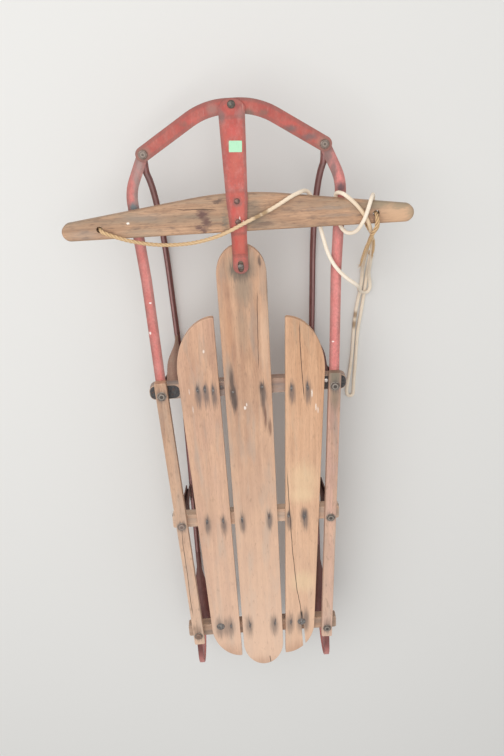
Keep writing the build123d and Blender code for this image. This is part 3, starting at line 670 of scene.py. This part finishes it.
def make_knot(name, node, material, axis, size, diameter):
    """An overhand knot pulled tight, drawn as a small trefoil of rope."""
    low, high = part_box(node)
    centre = (low + high) / 2
    lift = axis.normalized()
    first = lift.orthogonal().normalized()
    second = lift.cross(first)
    points = []
    for turn in turns_of(KNOT_STEPS):
        x = math.sin(turn) + 2 * math.sin(2 * turn)
        y = math.cos(turn) - 2 * math.cos(2 * turn)
        z = -KNOT_RISE * math.sin(3 * turn)
        points.append(centre + (first * x + second * y + lift * z) * size * MM)
    rings, facts = twisted(points, diameter * MM, ROPE_LAY * MM, [1.0] * KNOT_STEPS, closed=True)
    knot = make_object(name, *skin(rings, closed=True), material, 80.0, facts)
    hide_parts(node)
    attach(knot, "steering")
    return knot


# Runner: one bar of T-section steel, bent up into the nose in front and over into the hook behind
SOLE_WIDTH = 11.5
SOLE_THICKNESS = 3.5
SOLE_EDGE = 0.9
WEB_THICKNESS = 3.0
WEB_HEIGHT = 14.0
WEB_EDGE = 0.6
WEB_ROOT = 0.8
# The web starts just behind the hook's end on the floor, and runs out by this bend of the nose in degrees
WEB_START = 10
WEB_RISE = 30
WEB_FADE = 36
RUNNER_X_FRONT = 139.0
RUNNER_X_REAR = 146.0
CORNER_X = 151.0
CORNER_Y = 444.0
NOSE_ANGLE = math.radians(65.0)
NOSE_TOP_BEND = 20.0
NOSE_FLAT = 34.0
NOSE_HIGH = 155.55
REAR_BENCH_Y = -610.0
HOOK_HIGH = 158.75
HOOK_TURN_Y = -673.75
HOOK_END_Y = -595.0
HOOK_END_STEPS = 8
HOOK_STEPS = 40
LEVEL_STEPS = 90
NOSE_STEPS = 48
TOP_BEND_STEPS = 12
TOP_STEPS = 4


def runner_line():
    """Side view of a runner's sole as (y, z, share of the web's height), from the hook's end to the nose."""
    low = SOLE_THICKNESS / 2
    hook = (HOOK_HIGH - low) / 2
    line = []
    for i in range(HOOK_END_STEPS):
        line.append((HOOK_END_Y + (HOOK_TURN_Y - HOOK_END_Y) * i / HOOK_END_STEPS, HOOK_HIGH, 0.0))
    for i in range(HOOK_STEPS + 1):
        turn = math.pi * i / HOOK_STEPS
        line.append((HOOK_TURN_Y - hook * math.sin(turn), low + hook * (1 + math.cos(turn)), 0.0))
    reach = math.hypot(CORNER_X - RUNNER_X_FRONT, CORNER_Y)
    half_turn = math.tan(NOSE_ANGLE / 2)
    slope = (NOSE_HIGH - low) / math.sin(NOSE_ANGLE)
    big = (slope - NOSE_TOP_BEND * half_turn) / half_turn
    top_y = reach - NOSE_FLAT / 2 - NOSE_TOP_BEND * half_turn
    start_y = top_y - (NOSE_HIGH - low) / math.tan(NOSE_ANGLE) - big * half_turn
    for i in range(1, LEVEL_STEPS):
        y = HOOK_TURN_Y + (start_y - HOOK_TURN_Y) * i / LEVEL_STEPS
        line.append((y, low, min(1.0, (y - HOOK_TURN_Y + WEB_START) / WEB_RISE)))
    for i in range(NOSE_STEPS + 1):
        turn = NOSE_ANGLE * i / NOSE_STEPS
        web = max(0.0, 1 - (math.degrees(turn) / WEB_FADE) ** 2)
        line.append((start_y + big * math.sin(turn), low + big * (1 - math.cos(turn)), web))
    bend_y = line[-1][0] + NOSE_TOP_BEND * math.sin(NOSE_ANGLE)
    for i in range(1, TOP_BEND_STEPS + 1):
        turn = NOSE_ANGLE * (1 - i / TOP_BEND_STEPS)
        fall = NOSE_TOP_BEND * (1 - math.cos(turn))
        line.append((bend_y - NOSE_TOP_BEND * math.sin(turn), NOSE_HIGH - fall, 0.0))
    for i in range(1, TOP_STEPS + 1):
        line.append((bend_y + (reach - bend_y) * i / TOP_STEPS, NOSE_HIGH, 0.0))
    return line


def runner_x(y):
    if y <= 0:
        return RUNNER_X_FRONT + (RUNNER_X_REAR - RUNNER_X_FRONT) * y / REAR_BENCH_Y
    return RUNNER_X_FRONT + (CORNER_X - RUNNER_X_FRONT) * y / CORNER_Y


def runner_section(web):
    """T-section as (across, up), with rolled corners."""
    half, low = SOLE_WIDTH / 2, SOLE_THICKNESS / 2
    rib, top = WEB_THICKNESS / 2, low + 0.05 + WEB_HEIGHT * web
    nick = SOLE_EDGE * 0.3
    right = [
        (half - SOLE_EDGE, -low), (half - nick, -low + nick), (half, -low + SOLE_EDGE),
        (half, low - SOLE_EDGE), (half - nick, low - nick), (half - SOLE_EDGE, low),
        (rib + WEB_ROOT, low), (rib, low + min(WEB_ROOT, top - low)),
        (rib, max(top - WEB_EDGE, low + (top - low) / 2)),
        (rib - WEB_EDGE * 0.4, top - min(WEB_EDGE, top - low) * 0.2), (rib - WEB_EDGE, top),
    ]
    return right + [(-x, z) for x, z in reversed(right)]


def make_runner(name, side, material):
    line = runner_line()
    rings, crest = [], []
    for i, (y, z, web) in enumerate(line):
        before, after = line[max(i - 1, 0)], line[min(i + 1, len(line) - 1)]
        slope = math.atan2(after[1] - before[1], after[0] - before[0])
        ring = []
        for across, up in runner_section(web):
            place_y, place_z = y - up * math.sin(slope), z + up * math.cos(slope)
            ring.append(at(side * (runner_x(y) + side * across), place_y, place_z))
            on_top = abs(across) <= WEB_THICKNESS / 2 and up > SOLE_THICKNESS / 2 + web
            crest.append(1.0 if on_top else 0.0)
        rings.append(ring)
    runner = make_object("runner_bar_" + name, *skin(rings), material, 40.0, {"crest": crest})
    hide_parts("runner_" + name, "runner_nose_" + name)
    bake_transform(runner)


# Stamped struts in front of the outer knees: each stands on the runner's web and widens like a leaf
BRACE_FOOT_HALF = 3.0
BRACE_TOP_HALF = 16.5
BRACE_STEEL = 2.0
BRACE_CREASE = 0.42
BRACE_STEPS = 20
BRACE_ACROSS = 8
BRACE_FOOT_Z = 16.0
BRACE_SET_BACK = 4.0
# Shares of its length where it starts to widen and over which it widens, and how soft its crease is
WIDENING_START = 0.08
WIDENING_REACH = 0.56
CREASE_SOFTNESS = 0.12
CREASE_WHOLE = 0.71
CREASE_FADE = 0.75
# Bench, how far the foot stands in front of the top, and how far the top is from the middle
BRACES = {"front": ("cross_bench_front", 48.0, 141.0), "rear": ("cross_bench_rear", 100.0, 131.0)}


def make_brace(place, name, side, material):
    """A leaf-shaped strut from the runner up to the front edge of a bench, creased along its middle."""
    bench, lean, top_x = BRACES[place]
    low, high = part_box(bench)
    top_y = (high.y - BENCH_LINE) / MM - BRACE_SET_BACK
    top = Vector((top_x, top_y, low.z / MM))
    foot = Vector((runner_x(top_y + lean), top_y + lean, BRACE_FOOT_Z))
    slope = (top - foot).normalized()
    out = Vector((1, 0, 0)).cross(slope).normalized()
    if out.z < 0:
        out = -out
    rings = []
    for i in range(BRACE_STEPS + 1):
        t = i / BRACE_STEPS
        widening = min(max((t - WIDENING_START) / WIDENING_REACH, 0.0), 1.0)
        widening = widening * widening * (3 - 2 * widening)
        half = BRACE_FOOT_HALF + (BRACE_TOP_HALF - BRACE_FOOT_HALF) * widening
        crease = half * BRACE_CREASE * (1 - CREASE_FADE * t ** 6)
        middle = foot.lerp(top, t)
        upper, lower = [], []
        for j in range(BRACE_ACROSS + 1):
            u = 2 * j / BRACE_ACROSS - 1
            fall = math.sqrt(1 + CREASE_SOFTNESS) - math.sqrt(u * u + CREASE_SOFTNESS)
            spot = middle + Vector((half * u, 0, 0)) + out * crease * fall / CREASE_WHOLE
            upper.append(at(side * spot.x, spot.y, spot.z))
            spot = spot - out * BRACE_STEEL
            lower.append(at(side * spot.x, spot.y, spot.z))
        ring = lower + upper[::-1]
        rings.append(ring if side > 0 else ring[::-1])
    brace = make_object(f"{place}_brace_{name}", *skin(rings), material, 30.0)
    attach(brace, "frame")


# Small iron: nails, washers, one rivet painted near white as a glint, and bolts, turned shapes joined in one
# mesh of each kind
DECK_TOP = 168.0
BENCH_TOP = 157.0
RAIL_TOP = 175.0
CAD_HEAD_HEIGHT = 3.5
LATHE_SIDES = 20
WASHER_SIDES = 32
NAIL_RADIUS = 2.4
WASHER_RADIUS = 9.0
RAIL_WASHER_RADIUS = 9.4
NUT_RADIUS = 6.5
# How deep the nails and washers reach into the wood
SUNK = -0.6
NAIL = [(NAIL_RADIUS, SUNK), (NAIL_RADIUS, 0.25), (NAIL_RADIUS * 0.8, 0.5), (NAIL_RADIUS * 0.1, 0.6)]
WASHER = [(WASHER_RADIUS, SUNK), (WASHER_RADIUS, 0.8), (WASHER_RADIUS - 0.4, 1.1), (0.5, 1.1)]
RAIL_WASHER = [
    (6.6, -0.4), (RAIL_WASHER_RADIUS, -0.4), (RAIL_WASHER_RADIUS, 0.7), (RAIL_WASHER_RADIUS - 0.5, 1.0),
    (7.4, 1.0), (6.6, 0.6),
]
NUT = [(NUT_RADIUS - 1.0, 1.0), (NUT_RADIUS, 1.8), (NUT_RADIUS, 5.2), (NUT_RADIUS - 1.0, 6.0)]
BENCH_YS = (0.0, -305.0, -610.0)
NAILS = [
    (-97, 4), (-82.6, 5), (-67.5, 3), (-29.6, -3), (26.4, 4), (82.7, -2), (113.4, -2),
    (-102.7, -300), (-69.4, -302), (-29.5, -300), (27.2, -297), (67.9, -300), (101.3, -303),
    (-71, -592), (-28.1, -593), (28.5, -592), (64.6, -592),
]
WASHERED = [(-94.5, -592), (88.4, -592)]
BENCH_NAIL = (-51.5, 4.0)
GLINT_RIVET = (150.6, 4.4)


def lathed(x, y, z, profile, sides=LATHE_SIDES):
    """A turned shape about an upright line, from (radius, height) pairs in millimetres."""
    turns = turns_of(sides)
    return skin([[at(x + r * math.cos(t), y + r * math.sin(t), z + up) for t in turns] for r, up in profile])


def dome(radius, height, rim=0.3):
    """Profile of a low round head from its underside to near its middle."""
    rise = height - rim
    turns = [math.pi / 2 * i / 6 for i in range(1, 6)]
    arc = [(radius * math.cos(t), rim + rise * math.sin(t)) for t in turns]
    return [(radius, 0.0), (radius, rim), *arc, (radius * 0.05, height)]


def rail_x(y):
    return 165.5 + (145.5 - 165.5) * y / REAR_BENCH_Y


def make_iron(name, parts, smooth_angle, material):
    """Small iron on the frame, joined in one mesh."""
    iron = make_object(name, *merged(parts), material, smooth_angle)
    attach(iron, "frame")


def make_nails(material):
    parts = [lathed(x, y, DECK_TOP, NAIL) for x, y in NAILS]
    parts.append(lathed(*BENCH_NAIL, BENCH_TOP, NAIL))
    for x, y in WASHERED:
        parts.append(lathed(x, y, DECK_TOP, WASHER))
        parts.append(lathed(x, y, DECK_TOP + 1.0, dome(4.2, 2.2)))
    make_iron("deck_nails", parts, 50.0, material)


def make_rail_washers(material):
    parts = []
    for y in BENCH_YS:
        for side in (-1, 1):
            rings = []
            for t in turns_of(WASHER_SIDES):
                spots = [(side * rail_x(y) + r * math.cos(t), y + r * math.sin(t), z) for r, z in RAIL_WASHER]
                rings.append([at(x, y_out, RAIL_TOP + z) for x, y_out, z in spots])
            parts.append(skin(rings, closed=True))
    make_iron("rail_washers", parts, 40.0, material)


def make_bolt(name, node, spots, head_radius, head_height, shank_radius, rides, material):
    """Bolts with low domed heads in the holes of a CAD piece, each with its shank and a six-sided nut."""
    low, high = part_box(node)
    under, over = low.z / MM, high.z / MM - CAD_HEAD_HEIGHT
    shank = [(shank_radius - 0.6, 0.0), (shank_radius, 0.6), (shank_radius, over - under)]
    parts = []
    for x, y in spots:
        parts.append(lathed(x, y, over, dome(head_radius, head_height)))
        parts.append(lathed(x, y, under, shank))
        parts.append(lathed(x, y, under, NUT, 6))
    bolt = make_object(name, *merged(parts), material, 35.0)
    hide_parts(node)
    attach(bolt, rides)


# Sticker: its rear left and rear right corners, the way along it, and its rounded corners
STICKER_ROWS = 12
STICKER_LEFT = (-8.4, 441.8)
STICKER_RIGHT = (13.2, 440.8)
STICKER_ALONG = (1.0, 17.6)
STICKER_HALF = 9.75
STICKER_ROUNDING = 0.5
# Where along its diagonal the lifted corner starts, and how steeply it rises
LIFT_START = 1.75
LIFT_RISE = 3.6


def top_of(node, x, y):
    """Height in millimetres of the upper side of a CAD piece at a place."""
    hit, place, _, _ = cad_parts[node].ray_cast(at(x, y, 400), Vector((0, 0, -1)))
    return place.z / MM if hit else None


def make_sticker(material):
    """A blank paper label stuck down on the sloping strap, with one corner slightly lifted."""
    rows, wide = STICKER_ROWS, STICKER_ROWS + 1
    lower, upper = [], []
    for i in range(wide):
        v = i / rows
        past = max((abs(v - 0.5) * 2 - 1) * STICKER_HALF / STICKER_ROUNDING + 1, 0.0)
        inset = STICKER_ROUNDING * (1 - math.sqrt(max(0.0, 1 - past ** 2)))
        along = Vector(STICKER_ALONG) * v
        start = Vector(STICKER_LEFT) + along + Vector((inset, 0))
        end = Vector(STICKER_RIGHT) + along - Vector((inset, 0))
        for j in range(wide):
            u = j / rows
            spot = start.lerp(end, u)
            lift = LIFT_RISE * max(0.0, u + v - LIFT_START)
            z = top_of("steering_strap", spot.x, spot.y)
            upper.append(at(spot.x, spot.y, z + 0.22 + lift))
            lower.append(at(spot.x, spot.y, z - 0.05 + lift))
    faces = []
    for i in range(rows):
        for j in range(rows):
            a = i * wide + j
            faces.append((a, a + 1, a + wide + 1, a + wide))
            faces.append(tuple(wide * wide + n for n in (a + wide, a + wide + 1, a + 1, a)))
    rim = [*range(rows)] + [i * wide + rows for i in range(rows)]
    rim += [rows * wide + j for j in range(rows, 0, -1)] + [i * wide for i in range(rows, 0, -1)]
    for a, b in zip(rim, rim[1:] + rim[:1]):
        faces.append((b, a, wide * wide + a, wide * wide + b))
    sticker = make_object("blank_sticker", upper + lower, faces, material, 40.0)
    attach(sticker, "steering")


# Finishes, with marks where this sled has them, and some marks of painted light and shade
IRON = "#575150"
RAIN_BROWN = "#5A4A42"
KNEES = [f"knee_{place}_{side}" for place in ("front", "middle", "rear") for side in ("left", "right")]
LEFT_RAIL_CRACK = [(-155.8, -313), (-157.3, -352), (-155.1, -433), (-154.8, -503), (-152.7, -555)]


def nail_stains(low_x, high_x):
    """Dark blue-grey marks that each nail has left along the grain of the wood round it."""
    near = [(x, y) for x, y in NAILS + WASHERED if low_x < x < high_x]
    front = [(x, y) for x, y in near if y > -500]
    rear = [(x, y) for x, y in near if y <= -500]
    stains = [(x, y, 5.8, 18.0, 1.0) for x, y in front]
    stains += [(x + 1, y - 11, 10.0, 38.0, 0.72) for x, y in front]
    stains += [(x, y, 6.5, 20.0, 0.9) for x, y in rear]
    return stains + [(x - 2, y - 4, 14.0, 44.0, 0.6) for x, y in rear]


def bolt_stains(side):
    return [(side * rail_x(y), y, 14.0, 19.0, 0.7) for y in BENCH_YS]


def make_finishes():
    """A material for each CAD piece, by the name of its node."""
    centre_marks = [
        ("#8A7B6A", [(0, 242, 44, 44, 0.75), (2, 205, 26, 60, 0.7), (-4, 130, 16, 80, 0.4)]),
        ("#5E5348", [(0, 238, 27, 30, 0.85)]),
        ("#A87E66", [(-8, -730, 60, 56, 0.5)]),
        ("#E2BC9C", [(34, 100, 11, 96, 0.55)]),
        ("#CE9A74", [(-30, 120, 11, 90, 0.35)]),
        ("#6A5F54", [(-16, 238, 6, 14, 0.7), (-11, 222, 5, 11, 0.55), (44.5, 200, 4, 36, 0.55)]),
        ("#6A4A3C", [(30, -60, 4, 42, 0.8), (38, -84, 5.5, 30, 0.7)]),
        (IRON, nail_stains(-45, 45)),
        (RAIN_BROWN, [
            (-30.5, 20, 7, 44, 0.9), (-30, -6, 9.5, 34, 1.0), (-27, -28, 7, 28, 0.95), (26, 2, 8, 20, 0.9),
            (27, -26, 5, 44, 0.65), (33, 254, 5, 14, 0.8),
        ]),
    ]
    left_marks = [
        (IRON, nail_stains(-140, -45) + [(-82, -598, 18, 40, 0.5)]),
        ("#A87E66", [(-84, -690, 60, 56, 0.5)]),
    ]
    right_marks = [
        # Pale patches on the right slat are a painted highlight, the glare of light on its varnish
        ("#EBD0A6", [(101, -212, 44, 60, 0.4), (98, -246, 40, 34, 0.5), (94, -478, 40, 44, 0.45)]),
        (IRON, nail_stains(45, 150) + [(101.3, -303, 12, 30, 0.95), (98, -588, 12, 46, 0.7)]),
        ("#2E2622", [(89.5, -573, 3.6, 20, 1.0)]),
        ("#A87E66", [(84, -690, 60, 56, 0.5)]),
    ]
    bar_marks = [
        ("#D8B08C", [(275, 330, 52, 34, 0.7)]),
        ("#CBA083", [(110, 340, 90, 40, 0.1)]),
        ("#8F857C", [
            (-262, 322, 40, 12, 0.4), (-160, 345, 60, 10, 0.35), (150, 343, 60, 4, 0.4),
            (170, 330, 50, 4, 0.35),
        ]),
        ("#96866E", [(240, 346, 36, 10, 0.8), (278, 341, 32, 10, 0.8), (297, 330, 14, 24, 0.6)]),
        ("#6E685C", [(-22, 330, 7, 24, 0.55), (24, 340, 32, 34, 0.55)]),
        ("#6A4C44", [
            (-60, 344, 14, 13, 1.0), (-54, 331, 10, 15, 0.95), (-67, 323, 10, 7, 0.95), (-59, 317, 8, 8, 0.9),
        ]),
        ("#5A463E", [
            (-32, 364, 16, 5, 0.8), (45, 322, 24, 6, 0.55), (231, 316, 2, 10, 0.9), (216, 337, 2.8, 2.8, 0.8),
            (235, 329, 8, 8, 0.8), (-235, 329, 7.5, 7.5, 0.7),
        ]),
    ]
    bench_marks = [(IRON, [(-51.5, 4, 10, 10, 0.8), (40, 0, 30, 12, 0.2)])]
    left_rail_marks = [(IRON, bolt_stains(-1)), ("#7A6254", [(-147, -594, 14, 34, 0.6)])]
    right_rail_marks = [
        ("#77705F", [(166, 20, 22, 44, 0.85), (166, -20, 18, 50, 0.6)]),
        (IRON, bolt_stains(1)),
        ("#8A7268", [(147, -600, 14, 30, 0.6)]),
    ]
    strap_marks = [
        ("#CC6A5C", [(0, 285, 22, 60, 0.7), (4, 350, 14, 40, 0.4)]),
        ("#C44A42", [(0, 474, 14, 12, 0.6), (-8, 345, 8, 12, 0.6), (-6, 290, 5, 24, 0.5)]),
        ("#BC5A48", [(0, 425, 12, 30, 0.45)]),
        ("#7E5E5A", [(-16, 496, 9, 17, 0.8), (0, 362, 10, 11, 0.65), (0, 329, 9, 9, 0.4)]),
        ("#96706A", [(13, 500, 10, 15, 0.6), (0, 245, 11, 22, 0.4)]),
        # The dark red patch just right of the apex bolt is the bolt's painted shadow
        ("#7A3A38", [(9, 512, 8, 8, 0.6)]),
    ]
    bow_marks = [
        ("#C4534A", [(-60, 492, 40, 8, 0.4), (80, 480, 50, 7, 0.4)]),
        ("#6E5E50", [(28, 500, 11, 9, 0.8), (52, 499, 11, 8, 0.55), (-79, 488, 10, 8, 0.4)]),
        ("#6A5A58", [(95, 471, 17, 8, 0.75), (127, 457, 19, 9, 0.75)]),
        ("#8E7268", [(-30, 508, 17, 12, 0.6)]),
        ("#8C7869", [(-151, 444, 18, 18, 0.8), (151, 444, 18, 18, 0.75)]),
    ]
    strip_left_marks = [
        ("#96807A", [(-159, 430, 12, 34, 0.85), (-166, 400, 9, 40, 0.85), (-169, 372, 9, 36, 0.85)]),
        ("#6E7678", [(-177, 356, 13, 14, 1.0)]),
    ]
    strip_right_marks = [
        ("#776460", [(157, 426, 12, 30, 0.85), (166, 400, 9, 30, 0.8), (177, 300, 10, 26, 0.45)]),
        ("#5A4A50", [(178, 370, 12, 15, 0.9)]),
    ]
    centre_cracks = [
        ([(27, 200), (25, 160), (23, 90), (22, 40)], 0.6),
        ([(13, -690), (13.5, -700), (14.5, -712)], 1.1),
    ]
    right_cracks = [
        ([(101.3, 138), (101.4, 100), (102.5, 60), (104, 20), (107, -32)], 0.9),
        ([(68.4, -181), (70.1, -260), (73.8, -389), (80.6, -500), (86.3, -541), (89.7, -590)], 1.0),
    ]
    bar_cracks = [([(356, -103), (354, -90), (353, -60), (351, -35)], 0.7)]
    centre_chips = [(-8.5, -39, 3.2, 5, 0.75), (-5, -32, 1.6, 4.6, 0.6)]
    left_chips = [(-79, 85, 2.2, 4.4, 0.6), (-113, 3, 1.2, 8, 0.4), (-109, -36, 1.2, 10, 0.4)]
    right_chips = [(121.8, -15.5, 1.4, 11, 0.8), (129, -46, 1.4, 10, 0.7), (133, -53, 1.2, 9, 0.6)]
    strap_chips = [(3, 333, 1.2, 7, 0.8), (9, 330, 1.6, 1.6, 0.7)]
    strip_left_chips = [(-168, 183.5, 3, 2.2, 0.9), (-174.5, 125, 2.4, 3.6, 0.9)]
    spots = [(side * rail_x(y), y) for y in BENCH_YS for side in (-1, 1)]
    ring_marks = [
        ("#A8A096", [(x, y, 6.5, 6.5, 0.6) for x, y in spots]),
        ("#4A423D", [(x, y, 4.0, 4.0, 0.9) for x, y in spots]),
        ("#8E7060", [(-rail_x(BENCH_YS[2]), BENCH_YS[2], 12, 12, 0.8)]),
        ("#A88C80", [(-rail_x(BENCH_YS[1]), BENCH_YS[1], 12, 12, 0.4)]),
    ]
    rivet_rings = [(colour, [(side * CORNER_X, CORNER_Y, radius, radius, 0.9) for side in (-1, 1)])
                   for colour, radius in (("#6A5C54", 6.6), ("#8E8076", 4.8), ("#5A4E45", 2.2))]
    finishes = {
        "cross_bench_front": ash(
            "front_bench_ash", "#B59887", "#957A6C", "#8C8480", 0.8, across=True, marks=bench_marks,
            seed=21),
        "cross_bench_middle": ash(
            "middle_bench_ash", "#E0C4AC", "#C8AC96", "#AEA296", 0.6, across=True, seed=24),
        # The rear bench's darker brown-grey is painted shade
        "cross_bench_rear": ash(
            "rear_bench_ash", "#C0A48E", "#967E70", "#8A8078", 0.7, across=True, seed=27),
        "side_rail_left": ash(
            "left_rail_ash", "#C29C80", "#A68068", "#9A8B7E", 0.5, painted_rear_light=0.5, coarse=1.5,
            marks=left_rail_marks, cracks=[(LEFT_RAIL_CRACK, 0.7)], seed=31),
        "side_rail_right": ash(
            "right_rail_ash", "#D0A090", "#B08A7C", "#9A9086", 0.4, painted_rear_light=0.45, coarse=1.5,
            marks=right_rail_marks, seed=34),
        "deck_slat_centre": ash(
            "centre_slat_ash", "#CBA183", "#B0866C", "#A09082", 0.45, painted_rear_light=0.6, marks=centre_marks,
            cracks=centre_cracks, chips=centre_chips, seed=1),
        "deck_slat_left": ash(
            "left_slat_ash", "#D4A98D", "#BA9078", "#A69688", 0.4, painted_rear_light=0.45, marks=left_marks,
            chips=left_chips, seed=5),
        "deck_slat_right": ash(
            "right_slat_ash", "#DAAC88", "#C0906C", "#AC9880", 0.25, painted_rear_light=0.45, marks=right_marks,
            cracks=right_cracks, chips=right_chips, seed=9),
        "steering_crossbar": ash(
            "steering_bar_ash", "#C49C7C", "#A07E62", "#8C8272", 0.55, across=True, coarse=2.0,
            marks=bar_marks, cracks=bar_cracks, chips=[(-186, 337, 3.4, 2.6, 0.95)], seed=15),
        "steering_strap": enamel(
            "strap_enamel", "#B0463C", "#C05A4C", 0.35, marks=strap_marks, chips=strap_chips, seed=41),
        "front_bow": enamel(
            "bow_enamel", "#A8463C", "#B65C4E", 0.55, chalk="#B07A6E", marks=bow_marks, seed=45),
        "side_strip_left": enamel(
            "left_strip_enamel", "#C66E66", "#D2847C", 0.5, marks=strip_left_marks,
            chips=strip_left_chips, seed=48),
        "side_strip_right": enamel(
            "right_strip_enamel", "#D47A74", "#E08E88", 0.45, marks=strip_right_marks,
            chips=[(164, 86, 3, 2.2, 0.9)], seed=52),
        "rail_bolts": old_steel("rail_bolt_steel", "#7C736B", "#5A504A", ring_marks, 71.0),
        "front_bench_plates": old_steel("plate_steel", "#565452", "#37363A", seed=74, metallic=0.3),
        "corner_rivet_left": old_steel("left_rivet_steel", "#A4948A", "#7E6E64", rivet_rings, 86.0),
        "corner_rivet_right": old_steel("right_rivet_steel", "#9C8C82", "#74665C", rivet_rings, 89.0),
    }
    # The knees are painted very dark brown, as painted shade for where they stand under the deck
    for i, knee in enumerate(KNEES):
        finishes[knee] = enamel("knee_enamel_" + knee[5:], "#4A302C", "#5A3A34", 0.8, ("#5E4C42", "#3A2A24"),
                                chalk="#6E4C44", seed=60 + i)
    return finishes


make_camera()
rope_cotton = cotton("tow_rope_cotton")
tail_axis = at(*ROPE_ROUTE[-1]) - at(*ROPE_ROUTE[-2])
rope_pieces = [
    make_knot("knot_left", "rope_knot_left", rope_cotton, Vector((0, 0, 1)), 1.75, 5.6),
    make_knot("knot_tail", "rope_knot_tail", rope_cotton, tail_axis, 1.2, 4.6),
]
for number, (name, places) in enumerate(TAILS.items()):
    rope_pieces.append(make_tail(name, rope_cotton, places, number))
make_rope(rope_cotton)
make_stage()
for name, side in (("left", -1), ("right", 1)):
    pale_hook = [("#D88880", [(side * 146, -740, 60, 80, 0.9)])]
    # The runners' dark brown-red is partly dirt and partly painted shade
    runner_paint = enamel("runner_enamel_" + name, "#6E3C38", "#8A5450", 0.5, ("#8A7672", "#4A322C"),
                          "#5E403A", 0.3, "#966660", pale_hook, seed=91 + side, sole=True)
    make_runner(name, side, runner_paint)
# The front left brace is tan where light falls on it, with painted shade as the dark mark on its inner half
lit_tan_brace_paint = enamel("lit_tan_brace_enamel", "#A88270", "#A8907A", 0.6, ("#A08468", "#6A5040"), "#8A6A5A",
                   chalk="#B89C88", marks=[("#4A342C", [(-124, 30, 24, 80, 1.0)])], seed=70)
# The other braces stand in shade and are painted dark brown as painted shade
shaded_brace_paint = enamel("shaded_brace_enamel", "#6A3A38", "#5A3230", 0.7, ("#6A5048", "#40302A"), chalk="#84544E",
                    seed=63)
make_brace("front", "left", -1, lit_tan_brace_paint)
for place, name, side in (("front", "right", 1), ("rear", "left", -1), ("rear", "right", 1)):
    make_brace(place, name, side, shaded_brace_paint)
make_nails(old_steel("nail_steel", "#8E8B88", "#5C5653", seed=95))
make_rail_washers(old_steel("washer_steel", "#9A9186", "#6C6058", seed=97))
# The near-white, smooth steel of the rivet at the front bench is a painted glint
glint_rivet_paint = old_steel("glint_rivet_steel", "#F4F2EE", "#DAD6D0", seed=99, metallic=0.2, rusty=0.1,
                   rough=(0.25, 0.5))
make_iron("bench_rivet", [lathed(*GLINT_RIVET, BENCH_TOP, dome(4.1, 2.0))], 50.0, glint_rivet_paint)
make_bolt("deck_pivot", "pivot_bolt", [(0, 245)], 5.4, 2.4, 4.0, "frame",
          old_steel("pivot_bolt_steel", "#8A8580", "#605853", seed=77))
make_bolt("bar_bolts", "crossbar_bolts", [(0, 329), (0, 364)], 5.0, 2.4, 3.0, "steering",
          old_steel("crossbar_bolt_steel", "#8A6A62", "#5E4A44", seed=80))
make_bolt("bow_bolt", "apex_bolt", [(0, 514.5)], 6.6, 3.0, 3.0, "steering",
          old_steel("apex_bolt_steel", "#6E6A60", "#4A4440", seed=83))
make_sticker(label_paper("sticker_paper"))
for node, material in make_finishes().items():
    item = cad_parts[node]
    item.data.materials.clear()
    item.data.materials.append(material)

scene = bpy.context.scene
scene.view_settings.view_transform = "Standard"
bpy.context.view_layer.update()
